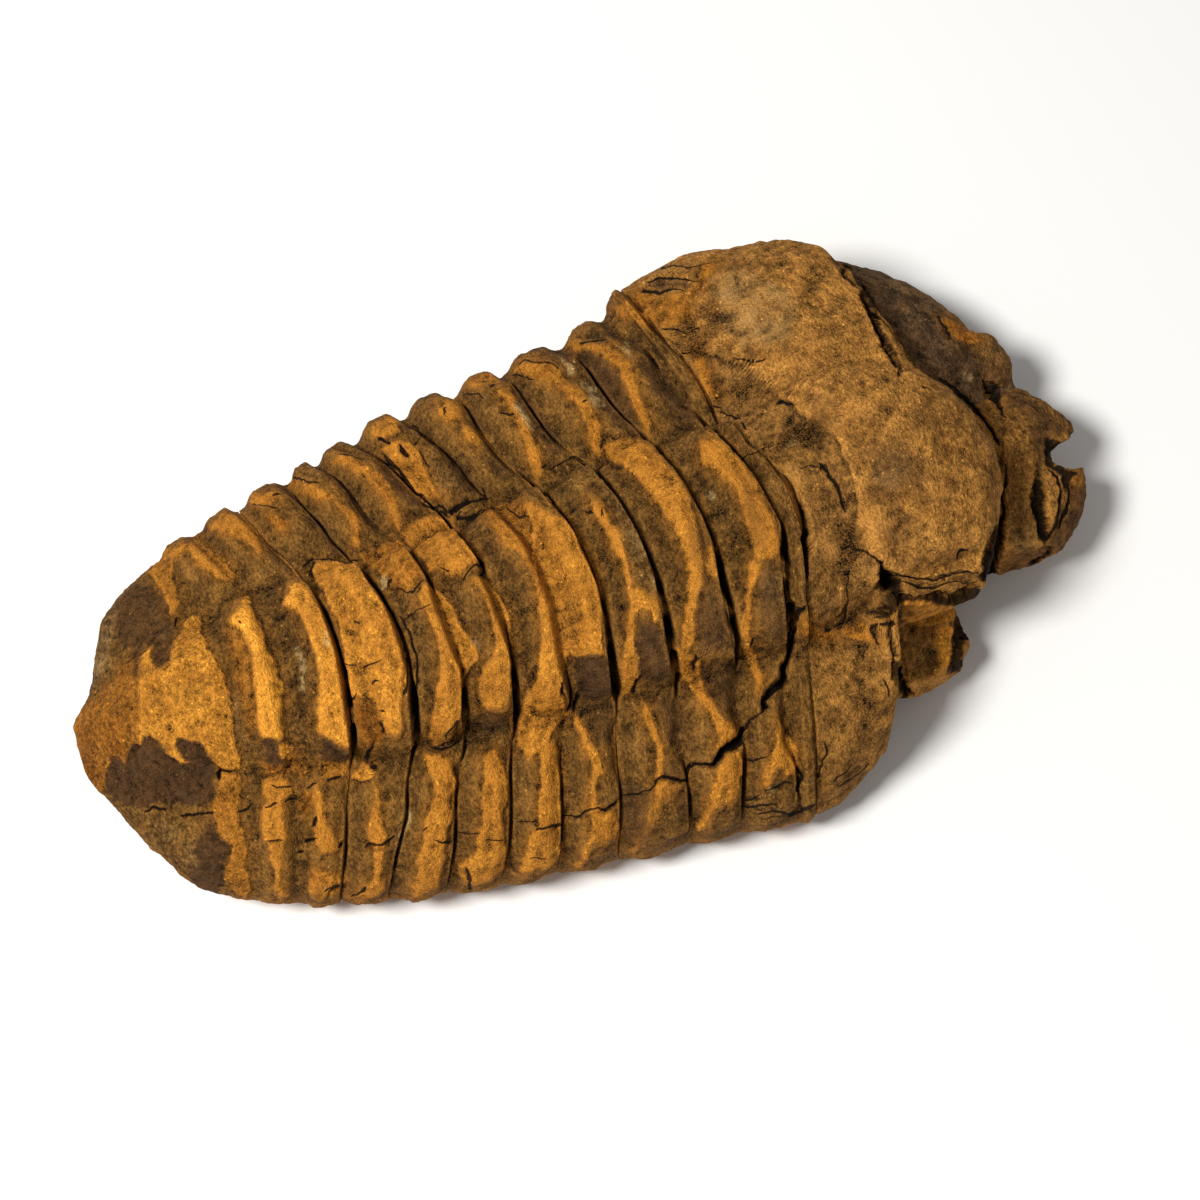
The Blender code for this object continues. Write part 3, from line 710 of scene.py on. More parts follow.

# Hollows that break into the stone: cut into the relief, and painted black as shade
PITS: dict[str, Patch] = {
    "cheek_gap": Patch((880,562, 886,570, 894,577, 904,581, 902,592, 900,603, 893,612, 889,621, 876,617,
     868,613, 877,609, 880,600, 879,585), 0.0, -2.4),
    "cheek_gap_low": Patch((889,617, 893,632, 897,652, 900,668, 905,683, 911,693, 905,702, 898,690, 895,672,
     892,652, 887,634, 884,622), 0.0, -1.6),
    "rim_shadow": Patch((899,590, 910,595, 925,598, 936,593, 950,596, 962,590, 980,586, 972,597, 972,612,
     970,640, 962,640, 960,613, 948,604, 930,602, 913,600, 902,600), 0.0, -1.2),
    "chunk_rim": Patch((955,606, 972,594, 978,600, 974,625, 966,645, 960,672, 945,674, 951,655, 953,632),
     0.0, -0.4),
    "under_head": Patch((896,590, 912,596, 935,598, 950,598, 968,590, 990,588, 984,603, 966,606, 950,607,
     930,603, 905,600, 897,610, 891,605), 0.0, -0.4),
    "brow_slot": Patch((994,526, 1004,522, 1005,537, 1002,552, 998,566, 995,577, 986,580, 979,577, 982,562,
     986,548, 990,535), 0.0, -1.4),
    "front_recess": Patch((1036,477, 1041,482, 1043,492, 1046,512, 1045,522, 1048,538, 1045,546, 1039,533,
     1034,518, 1031,505, 1032,490), 0.0, -0.5),
    "dome_gap": Patch((860,286, 867,290, 873,300, 878,312, 881,325, 887,338, 894,350, 901,360, 904,371,
     900,373, 892,361, 884,349, 877,336, 871,322, 866,308, 862,298), 0.0, -1.0),
    "dome_top_gap": Patch((838,268, 849,268, 846,274, 853,282, 860,290, 853,286, 845,277), 0.0, -0.8),
    "hook_hole": Patch((984,380, 992,383, 1001,387, 1001,398, 1003,408, 996,408, 990,400, 986,391), 0.0,
     -1.0),
    "notch": Patch((1044,437, 1058,440, 1067,440, 1058,448, 1053,458, 1056,466, 1066,470, 1077,472, 1072,480,
     1066,488, 1062,484, 1060,476, 1054,472, 1047,467, 1043,455), 0.0, -0.2),
    "lip_foot": Patch((1028,563, 1037,558, 1047,548, 1052,547, 1045,558, 1036,566), 0.0, -0.6),
}

# Plates and films of ochre crust
CRUSTS: dict[str, Patch] = {
    "tail_tip": Patch((72,740, 73,720, 80,708, 92,700, 101,693, 110,683, 119,670, 131,660, 140,656, 142,668,
     146,700, 140,744, 131,746, 127,757, 126,764, 121,759, 111,757, 108,770, 107,781, 100,792, 90,793,
     80,775), -0.55, 0.1),
    "tail_apron": Patch((140,656, 146,652, 154,642, 157,645, 151,656, 153,664, 158,668, 164,664, 170,655,
     175,641, 180,629, 189,618, 200,616, 202,632, 206,644, 214,658, 222,671, 228,690, 231,712, 234,735,
     238,755, 241,770, 226,772, 218,764, 210,756, 200,745, 190,741, 183,740, 176,738, 177,746, 183,758,
     188,763, 180,764, 171,757, 163,744, 157,739, 150,735, 143,736, 139,744, 130,730, 136,700), 0.4, 0.16),
    "tail_collar": Patch((148,572, 152,562, 165,551, 178,545, 186,541, 190,548, 184,556, 176,560, 173,568,
     173,582, 178,590, 180,602, 176,613, 171,617, 170,606, 165,600, 160,592, 156,582), -0.1, 0.1),
    "tail_collar_far": Patch((188,541, 198,536, 206,545, 215,556, 225,561, 235,573, 232,581, 216,578,
     205,568, 195,560, 190,552), 0.0, 0.12),
    "rib_one_far": Patch((208,530, 214,521, 225,513, 235,514, 244,520, 252,526, 259,536, 263,548, 259,553,
     250,546, 240,541, 228,534), -0.1, 0.1),
    "rib_two_far": Patch((245,502, 254,496, 268,491, 280,494, 284,500, 270,505, 254,505), -0.15, 0.08),
    "rib_two_far_low": Patch((262,512, 275,513, 287,520, 290,530, 280,528, 268,520), -0.4),
    "rib_three_far": Patch((287,480, 300,481, 315,484, 326,490, 336,496, 330,501, 315,499, 300,492, 288,487),
     -0.1, 0.08),
    "rib_three_line": Patch((332,499, 345,503, 355,513, 359,530, 359,550, 354,545, 352,528, 344,515), -0.2,
     0.08),
    "rib_four_far": Patch((330,462, 340,455, 350,457, 366,464, 378,474, 388,484, 396,498, 400,515, 401,535,
     393,522, 387,505, 378,490, 366,479, 352,470, 340,466), -0.25, 0.1),
    "rib_five_far": Patch((371,433, 379,421, 392,415, 400,418, 399,430, 386,438, 376,438), -0.1, 0.1),
    "rib_six_far": Patch((438,404, 455,399, 464,411, 461,420, 453,426, 445,420, 439,414), 0.1, 0.1),
    "rib_six_far_low": Patch((463,424, 474,427, 481,438, 478,446, 469,444, 462,434), -0.05, 0.08),
    "rib_seven_far": Patch((468,381, 484,373, 497,374, 499,382, 482,386, 470,388), -0.2, 0.08),
    "rib_seven_line": Patch((497,392, 509,388, 515,398, 521,410, 529,420, 532,433, 537,446, 542,460, 543,476,
     536,481, 530,466, 525,450, 521,434, 516,420, 507,406), -0.05, 0.12),
    "rib_eight_far": Patch((514,368, 530,361, 545,361, 560,368, 566,379, 559,387, 545,381, 530,375, 515,372),
     -0.3, 0.08),
    "rib_eight_line": Patch((556,387, 569,385, 584,394, 592,405, 598,420, 601,435, 604,452, 598,457, 590,441,
     584,424, 579,410, 568,398), -0.25, 0.1),
    "rib_nine_far": Patch((566,345, 572,339, 585,345, 600,344, 615,349, 629,361, 636,378, 641,395, 646,412,
     652,428, 648,434, 640,421, 632,405, 627,390, 620,375, 610,362, 595,352, 575,349), -0.25, 0.1),
    "ring_five_top": Patch((400,533, 413,524, 430,518, 443,515, 452,526, 464,542, 477,556, 480,563, 466,572,
     455,577, 440,573, 429,571, 420,556, 410,545), 0.0, 0.15),
    "ring_four_top": Patch((358,556, 373,549, 388,545, 400,541, 410,551, 418,562, 424,575, 414,588, 400,590,
     389,585, 376,570, 366,566), -0.35, 0.12),
    "ring_four_bright": Patch((388,572, 396,562, 406,563, 413,572, 418,583, 412,589, 400,588, 391,583), 0.25,
     0.05),
    "fragment": Patch((381,449, 389,441, 400,440, 412,444, 420,452, 426,468, 431,480, 438,492, 441,499,
     426,497, 414,491, 404,478, 394,465), 0.05, 0.1),
    "ridge_one": Patch((228,623, 235,612, 243,603, 246,594, 250,598, 254,611, 259,623, 264,637, 270,653,
     277,671, 282,685, 284,700, 283,720, 286,736, 280,741, 272,738, 262,738, 258,728, 257,700, 256,680,
     254,660, 250,645, 246,635, 236,628), 0.75, 0.22),
    "ridge_one_pale": Patch((226,626, 236,628, 246,636, 251,650, 255,670, 257,700, 258,728, 250,735, 243,715,
     238,690, 233,660), -0.35),
    "ridge_one_foot": Patch((279,742, 287,740, 292,748, 294,758, 288,762, 282,755), 0.3, 0.12),
    "ridge_two": Patch((283,604, 288,589, 295,582, 303,584, 311,592, 318,603, 325,617, 332,635, 338,655,
     343,680, 344,700, 347,720, 350,735, 353,746, 345,750, 335,743, 325,738, 317,730, 316,710, 319,690,
     319,670, 315,655, 311,640, 306,625, 298,614, 288,610), 0.4, 0.22),
    "ridge_three": Patch((312,576, 312,569, 317,564, 330,562, 345,562, 355,563, 362,572, 370,585, 380,598,
     388,611, 396,630, 402,650, 405,670, 405,690, 403,705, 402,720, 400,731, 395,737, 386,733, 380,715,
     372,700, 360,697, 350,695, 347,680, 345,660, 340,640, 335,620, 330,605, 322,588), 0.25, 0.25),
    "ridge_three_low": Patch((350,696, 372,700, 380,715, 386,733, 380,745, 366,748, 360,735, 357,715), -0.6,
     0.12),
    "ridge_four": Patch((418,600, 425,588, 435,583, 446,596, 455,612, 463,630, 472,639, 479,650, 478,660,
     470,668, 465,680, 463,695, 460,715, 455,728, 447,738, 435,746, 428,738, 432,715, 436,695, 440,675,
     440,655, 436,635, 428,618), 0.1, 0.2),
    "ridge_five": Patch((469,580, 478,578, 486,580, 493,586, 500,596, 507,606, 511,618, 512,640, 512,660,
     511,675, 510,690, 508,703, 502,709, 490,712, 480,708, 478,695, 479,680, 484,665, 492,655, 494,640,
     492,620, 488,605, 480,592), 0.0, 0.2),
    "ring_six_field": Patch((486,512, 500,502, 520,503, 535,530, 545,560, 543,600, 541,640, 536,600, 530,570,
     520,555, 505,545, 492,530), -0.35),
    "ridge_six": Patch((519,504, 531,503, 545,508, 560,518, 575,532, 585,547, 593,562, 597,580, 600,600,
     601,625, 603,645, 604,653, 595,654, 585,656, 577,661, 570,655, 564,670, 562,690, 566,706, 571,714,
     560,722, 553,730, 550,742, 545,752, 530,757, 517,745, 517,728, 523,712, 523,700, 531,688, 538,675,
     541,650, 541,620, 539,595, 535,575, 530,545, 532,525), 0.1, 0.2),
    "ridge_seven_line": Patch((588,497, 600,504, 610,518, 619,535, 626,553, 631,570, 633,588, 640,588,
     648,593, 656,597, 660,606, 658,619, 653,622, 650,611, 642,608, 635,614, 635,640, 638,660, 640,672,
     635,682, 631,692, 624,696, 622,680, 621,662, 625,648, 626,628, 628,612, 628,590, 622,565, 612,545,
     602,528, 592,514), 0.1, 0.15),
    "ridge_eight": Patch((604,446, 622,440, 640,438, 655,452, 668,468, 680,483, 690,500, 696,520, 700,545,
     703,570, 700,590, 695,610, 693,640, 690,655, 684,650, 682,630, 685,600, 688,575, 685,555, 678,538,
     670,524, 661,510, 650,495, 638,480, 622,465, 608,458), 0.1, 0.18),
    "ridge_eight_low": Patch((677,648, 690,652, 698,660, 702,680, 712,700, 720,715, 733,722, 738,733,
     728,745, 716,752, 720,735, 710,718, 700,700, 690,690, 680,675), -0.1, 0.15),
    "ridge_nine": Patch((700,441, 712,438, 722,442, 735,456, 745,468, 755,480, 760,495, 766,506, 772,517,
     777,528, 779,541, 778,556, 766,562, 756,561, 752,545, 748,530, 742,515, 738,500, 732,488, 722,478,
     712,471, 700,466), 0.05, 0.18),
    "ridge_nine_low": Patch((747,562, 758,562, 757,576, 753,590, 751,605, 752,622, 750,640, 757,660, 765,680,
     760,690, 752,675, 744,655, 742,638, 743,622, 746,605, 747,590), 0.0, 0.12),
    "ridge_nine_smooth": Patch((700,545, 712,548, 716,565, 718,580, 708,578, 702,565), 0.1),
    "rib_one": Patch((219,784, 224,772, 240,776, 242,790, 240,806, 238,822, 245,838, 247,855, 248,872,
     251,890, 245,897, 235,891, 226,883, 225,872, 231,862, 233,845, 222,838, 218,825, 212,812, 212,800,
     217,792), -0.1, 0.12),
    "rib_two": Patch((262,779, 281,775, 291,782, 293,795, 284,800, 283,806, 285,820, 288,838, 284,843,
     283,857, 280,872, 283,886, 289,897, 280,901, 275,886, 274,866, 270,848, 265,838, 260,822, 262,806,
     268,802, 262,795), 0.1, 0.15),
    "rib_three": Patch((317,782, 322,794, 325,808, 328,824, 338,838, 341,850, 320,852, 315,840, 314,826,
     317,810, 312,800, 313,790), 0.0, 0.18),
    "rib_three_foot": Patch((313,869, 325,867, 340,874, 346,885, 336,896, 320,898, 310,894, 307,885,
     311,875), -0.1, 0.12),
    "rib_three_side": Patch((300,788, 312,792, 314,803, 308,816, 300,812), -0.5),
    "rib_four": Patch((373,780, 378,787, 382,800, 380,815, 386,830, 388,840, 383,848, 383,862, 381,875,
     385,882, 383,891, 375,896, 360,898, 349,896, 358,890, 368,884, 373,875, 374,860, 371,846, 368,826,
     372,815, 376,804, 374,792), -0.05, 0.15),
    "furrow_four": Patch((348,778, 356,770, 363,762, 371,764, 376,772, 370,779, 360,780), 0.45, 0.12),
    "furrow_three": Patch((318,764, 330,760, 345,763, 350,772, 338,778, 322,780), -0.3),
    "rib_five": Patch((424,753, 440,754, 452,765, 457,776, 455,790, 450,800, 452,815, 448,828, 447,840,
     445,852, 442,862, 441,875, 438,885, 426,895, 416,899, 408,894, 412,885, 418,873, 419,863, 413,861,
     420,850, 423,840, 424,828, 427,815, 430,805, 435,795, 433,780, 428,768), 0.05, 0.2),
    "rib_six": Patch((483,752, 498,748, 503,765, 507,785, 506,800, 503,815, 504,830, 505,846, 504,860,
     501,873, 490,881, 478,886, 465,881, 457,872, 462,862, 470,855, 477,848, 478,836, 480,825, 482,805,
     484,790, 482,770), 0.05, 0.2),
    "rib_seven": Patch((539,746, 555,740, 560,756, 562,780, 561,805, 562,828, 562,846, 558,862, 545,868,
     528,871, 519,873, 522,858, 527,845, 532,832, 538,826, 537,810, 540,790, 541,765), 0.1, 0.2),
    "rib_eight": Patch((576,712, 583,725, 590,742, 599,750, 603,770, 597,779, 594,800, 605,810, 616,811,
     619,823, 615,836, 605,841, 592,843, 588,852, 582,865, 574,866, 580,855, 588,840, 589,825, 590,808,
     592,790, 592,770, 588,758, 580,738, 573,722), 0.05, 0.15),
    "rib_nine": Patch((640,700, 648,704, 656,724, 662,742, 666,757, 663,768, 661,779, 670,781, 684,783,
     678,793, 668,798, 661,799, 656,812, 648,826, 640,841, 634,853, 629,850, 638,836, 645,822, 652,808,
     656,792, 655,775, 658,757, 652,738, 642,718), 0.05, 0.15),
    "rib_ten": Patch((717,768, 724,756, 735,751, 742,753, 744,765, 741,780, 738,795, 731,802, 722,799,
     715,808, 708,820, 700,832, 697,828, 703,812, 710,798, 714,785), 0.1, 0.2),
    "rib_eleven": Patch((777,722, 786,733, 797,745, 799,760, 794,774, 785,775, 782,766, 776,768, 771,780,
     766,788, 762,781, 767,768, 772,755, 776,740), 0.1, 0.15),
    "nape": Patch((838,628, 850,624, 864,620, 871,627, 869,633, 880,641, 862,640, 845,637), 0.0, 0.06),
    "nape_low": Patch((800,615, 812,624, 825,632, 838,630, 836,640, 815,640, 800,632), -0.4),
    "hollow_floor": Patch((262,762, 285,766, 300,760, 312,764, 310,775, 290,776, 265,776), -0.4),
    "genal": Patch((612,309, 628,298, 640,290, 645,296, 680,296, 690,300, 690,318, 676,327, 650,326,
     628,322), -0.25),
    "genal_flame": Patch((684,300, 688,292, 697,283, 700,278, 702,268, 712,262, 720,262, 715,272, 706,283,
     698,290, 690,300), -0.3, 0.06),
    "collar": Patch((690,343, 700,345, 707,360, 716,385, 722,400, 715,402, 704,388, 696,368), -0.2),
    "dome_facet": Patch((940,317, 955,319, 968,326, 978,335, 982,342, 972,345, 958,342, 950,333), -0.55,
     0.1),
    "lip": Patch((1071,480, 1074,474, 1079,475, 1083,482, 1080,488, 1072,487), -0.35),
    "chunk_top": Patch((900,600, 930,604, 955,608, 958,618, 940,626, 915,626, 900,618), 0.2, 0.1),
    "chunk_side": Patch((935,630, 956,624, 958,650, 950,668, 938,668), 0.1),
}

# Chocolate films, and painted shade in the patches named for shade or shadow
STAINS_AND_SHADES: dict[str, Patch] = {
    "tail_near": Patch((107,781, 108,768, 112,758, 121,760, 127,764, 127,757, 131,746, 140,744, 143,736,
     150,735, 157,739, 163,744, 172,757, 180,764, 187,763, 182,758, 177,746, 176,738, 183,740, 190,741,
     200,746, 209,757, 216,767, 214,780, 215,792, 207,801, 190,806, 170,803, 150,808, 130,808, 115,800,
     108,792)),
    "tail_flank": Patch((190,885, 197,865, 198,845, 203,832, 212,822, 218,832, 228,840, 232,852, 226,868,
     225,885, 215,893, 200,892)),
    "tail_far": Patch((115,630, 120,600, 135,585, 150,580, 160,596, 170,606, 172,620, 174,640, 168,656,
     162,664, 156,662, 152,655, 145,640, 130,658, 135,645, 125,650), 0.3),
    "tail_far_two": Patch((132,648, 140,652, 140,668, 138,685, 133,670), 0.3),
    "tail_spot": Patch((107,700, 116,695, 118,708, 112,716, 106,710), 0.9),
    "ridge_one_foot": Patch((263,740, 271,739, 277,744, 282,757, 286,764, 275,767, 266,762), -0.1),
    "ridge_two_foot": Patch((320,737, 328,740, 338,746, 350,752, 352,760, 338,762, 322,760), -0.1),
    "ridge_five_foot": Patch((476,719, 481,712, 493,710, 502,714, 507,722, 501,730, 487,731, 479,728), 0.2),
    "ridge_six_foot": Patch((574,664, 583,658, 593,655, 604,654, 608,666, 612,680, 616,691, 605,697, 590,698,
     579,696, 575,685)),
    "ridge_six_foot_low": Patch((585,700, 612,698, 618,715, 612,740, 598,745, 590,725), 0.5),
    "ridge_seven_block": Patch((636,642, 638,628, 646,620, 656,624, 661,640, 667,660, 672,678, 655,682,
     640,678, 636,662), 0.1),
    "ridge_seven_foot": Patch((655,700, 672,690, 680,700, 680,740, 668,745, 662,720), 0.5),
    "ridge_eight_block": Patch((700,590, 715,586, 725,605, 732,630, 735,648, 715,652, 700,645, 697,615),
     0.4),
    "ridge_eight_foot": Patch((700,668, 720,660, 736,665, 738,700, 735,718, 722,712, 708,690), 0.7),
    "ridge_nine_spot": Patch((762,563, 775,560, 779,566, 777,576, 765,577), 0.5),
    "ridge_nine_block": Patch((758,580, 772,575, 782,595, 786,630, 780,644, 765,640), 0.55),
    "far_band_nine": Patch((572,350, 590,352, 608,362, 620,378, 630,400, 640,425, 646,436, 632,436, 615,428,
     602,405, 596,392, 584,372, 577,360), 0.35),
    "far_band_eight": Patch((508,386, 518,386, 530,398, 542,415, 556,432, 562,445, 560,455, 545,450, 535,430,
     527,412, 515,398), 0.4),
    "far_band_seven": Patch((463,405, 470,408, 480,420, 485,432, 480,438, 470,424), 0.3),
    "far_band_six": Patch((442,450, 455,458, 470,470, 480,490, 470,492, 455,482, 446,465), 0.3),
    "far_band_five": Patch((335,478, 348,482, 358,498, 368,515, 374,525, 362,520, 350,500, 340,488), 0.35),
    "far_band_five_low": Patch((485,462, 505,458, 525,468, 535,478, 510,480, 492,474), 0.6),
    "far_band_four": Patch((378,465, 388,466, 400,480, 412,492, 424,503, 415,508, 400,495, 386,480), 0.3),
    "far_band_three": Patch((262,543, 275,548, 290,562, 303,577, 290,575, 275,562), 0.4),
    "far_band_three_low": Patch((305,508, 320,518, 333,535, 348,553, 340,556, 325,540, 312,525), 0.4),
    "far_band_ten": Patch((632,340, 642,345, 655,362, 668,385, 690,405, 705,425, 690,425, 668,405, 650,385,
     640,365), 0.4),
    "far_band_ten_top": Patch((583,335, 600,331, 618,332, 616,338, 600,339, 585,340), 0.4),
    "far_top_eight": Patch((538,352, 555,349, 570,352, 575,362, 560,362, 545,358), 0.6),
    "genal_band": Patch((643,290, 650,284, 665,281, 685,281, 700,282, 690,289, 670,290, 655,292), 0.2,
     -0.25),
    "nape_shadow": Patch((815,600, 825,600, 838,601, 838,612, 822,618), 0.7),
    "shield_mark": Patch((700,353, 720,352, 740,358, 745,362, 725,365, 708,360), 0.8),
    "glabella_mottle": Patch((868,440, 885,436, 905,445, 925,458, 932,478, 918,490, 900,495, 880,500,
     866,488, 872,468, 862,455), 0.75),
    "glabella_mottle_low": Patch((880,512, 895,505, 912,512, 918,530, 905,545, 886,548, 874,532), 0.85),
    "glabella_mottle_far": Patch((912,400, 930,396, 950,408, 955,425, 938,430, 920,420), 0.95),
    "shield_mottle": Patch((770,330, 795,322, 815,335, 812,352, 790,360, 772,350), 0.95),
    "neck_mottle": Patch((812,395, 830,392, 842,410, 840,430, 825,436, 812,420), 0.8),
    "near_band_nine": Patch((622,780, 640,785, 650,800, 652,830, 645,850, 630,852, 622,830, 620,805), 0.5),
    "ridge_nine_band": Patch((738,470, 750,480, 762,510, 770,545, 764,560, 752,540, 742,505), 0.8),
    "ridge_eight_band": Patch((690,520, 704,530, 712,560, 718,590, 706,596, 696,570, 688,545), 0.8),
    "rib_band_ten": Patch((665,760, 680,765, 690,785, 688,810, 676,812, 668,790), 0.7),
    "lip_shade": Patch((1060,472, 1068,480, 1078,490, 1098,492, 1094,524, 1076,548, 1050,556, 1038,568,
     1046,546, 1058,520, 1064,500), 0.3),
    "front_shade": Patch((1030,425, 1042,412, 1052,420, 1050,440, 1041,470, 1034,478, 1036,455), 0.4),
    "front_low_shade": Patch((998,566, 1015,552, 1035,548, 1048,546, 1032,572, 1000,584), 0.4),
    "beak_shade": Patch((1008,392, 1035,402, 1060,425, 1068,432, 1050,437, 1038,424, 1018,412), 0.35),
    "dome_shade": Patch((945,352, 975,348, 1000,366, 1008,386, 985,382, 960,378), 0.5),
    "chunk_face": Patch((903,640, 915,632, 928,640, 932,660, 925,676, 912,672, 905,655), 0.9),
}

# Grey-green areas of barer stone
GREYS: dict[str, Patch] = {
    "shield": Patch((712,262, 735,262, 760,275, 785,290, 800,310, 790,335, 765,350, 740,345, 722,330,
     712,305, 706,280)),
    "shield_low": Patch((872,462, 890,452, 908,458, 912,475, 895,490, 876,485)),
    "tail_rim": Patch((92,690, 95,640, 108,605, 122,592, 116,620, 110,650, 105,680)),
    "tail_patch": Patch((150,826, 165,820, 176,826, 178,840, 165,848, 152,838), 0.6),
    "tail_patch_low": Patch((184,845, 196,840, 199,855, 195,872, 186,866), 0.6),
    "ridge_seven": Patch((606,490, 620,500, 638,530, 652,560, 658,590, 645,585, 634,570, 628,548, 616,520),
     0.2),
    "ridge_nine": Patch((760,575, 778,578, 783,600, 772,602, 762,595), 0.2),
    "fragment": Patch((424,455, 438,456, 448,468, 452,484, 446,497, 438,494, 430,478), 0.9),
    "valley_two": Patch((225,680, 235,680, 243,715, 245,745, 236,740, 230,712), 0.2),
    "front": Patch((1012,505, 1030,500, 1034,525, 1036,545, 1018,552, 1008,535)),
}

# Whitish crumbs
BLEACHES: dict[str, Patch] = {
    "ridge_two_crumb": Patch((296,650, 301,655, 305,664, 306,672, 300,674, 296,666)),
    "ridge_two_crumb_low": Patch((301,678, 306,684, 303,692, 300,688)),
    "ridge_two_streak": Patch((322,630, 328,636, 332,650, 326,646)),
    "far_crumb": Patch((564,358, 572,361, 573,372, 567,374)),
    "far_crumb_low": Patch((580,382, 590,386, 599,396, 605,404, 598,408, 589,396)),
    "far_line": Patch((515,402, 521,406, 530,420, 533,430, 527,424)),
    "far_tip": Patch((625,342, 630,348, 629,358, 624,352)),
    "plate_speck": Patch((382,580, 386,576, 391,580, 389,587, 384,586)),
    "ring_four_speck": Patch((473,637, 479,640, 480,650, 475,648)),
    "ring_nine_speck": Patch((706,493, 712,492, 713,498, 707,498)),
    "rib_edge": Patch((406,808, 411,822, 405,832, 400,838, 404,828, 407,820)),
    "dome_crumb": Patch((962,372, 969,373, 972,380, 965,380)),
    "collar_crumb": Patch((792,442, 797,440, 799,445, 794,447)),
    "cheek_crumb": Patch((767,790, 773,788, 775,793, 769,795)),
}

SHIELD = Patch((600,309, 640,268, 680,243, 748,236, 790,230, 834,250, 833,262, 839,271, 851,281, 860,291,
    867,306, 874,325, 881,343, 889,353, 899,363, 902,371, 920,369, 933,372, 946,381, 958,391, 975,406,
    988,426, 998,441, 1002,460, 1004,490, 1004,515, 998,530, 992,550, 985,565, 983,576, 960,572, 940,576,
    920,580, 900,577, 883,564, 866,553, 853,545, 858,515, 856,490, 848,465, 838,440, 818,425, 795,410,
    765,385, 745,365, 700,352, 672,340, 660,334, 645,331, 612,324), 0.0, 0.3)
COLLAR = Patch((655,333, 672,345, 690,362, 703,388, 717,425, 735,437, 760,452, 788,470, 800,502, 808,535,
    806,590, 800,615, 840,630, 868,628, 880,615, 881,566, 853,545, 860,500, 850,460, 820,425, 765,385,
    745,365, 700,350))
FRONT_STRIP = Patch((1004,430, 1015,425, 1030,440, 1037,455, 1038,470, 1033,480, 1031,495, 1032,515,
    1037,530, 1042,545, 1030,560, 1015,575, 995,578, 993,575, 1000,552, 1004,535, 1004,510), 0.0, 0.15)
INNER_LIP = Patch((1043,472, 1052,475, 1058,486, 1060,505, 1056,520, 1050,533, 1047,525, 1046,505, 1043,488),
    0.0, 0.25)

# Cosines to the camera between which the marks fade out. The colours reach
# further round the edges than the relief.
RELIEF_FADE = (0.02, 0.12)
COLOUR_FADE = (-0.14, -0.02)
SEEN_ENOUGH = 0.4
# The drawn lines wander as broken stone does: size in mm, reach in pixels, seed
WANDERS = ((1.4, 3.2, 3.1), (0.45, 1.8, 12.9))
UPRIGHT_SEED = 4.6
# Their edges are ragged: size in mm, seed
RAGS = ((0.5, 5.3), (0.25, 9.1))
RAGGED_MM = 0.10
FILM_RAGGEDNESS = 2
# How far inside a patch's edge its rise starts and is full, in mm
PLATE_WALL = (-0.06, 0.10)
PIT_WALL = (-0.10, 0.35)
PIT_LIMIT_MM = 1.6
HOLLOW_EDGE_MM = 0.04
# Patches that overlap share their tones over this distance
TONE_BLEND_MM = 0.16
TONE_REACH_MM = (-1.0, 0.5)
LEAST_PULL = 1e-6
# Films have soft edges, and the fainter they are the softer
STAIN_AND_SHADE_SOFT_MM = 0.12
GREY_SOFT_MM = 0.35
BLEACH_SOFT_MM = 0.10
FAINT_SOFT_MM = 0.35
FAINTEST = 0.7
# Cracks are read up to this far away, taper past their ends and have sloping
# walls, and the widest are cut to their full depth
LINE_LIMIT_MM = 0.6
THINNEST_PX = 0.45
END_TAPER = 0.7
SLOPE_PX = 1.2
SLOPE_SHARE = 0.35
DEEP_PX = 3.0


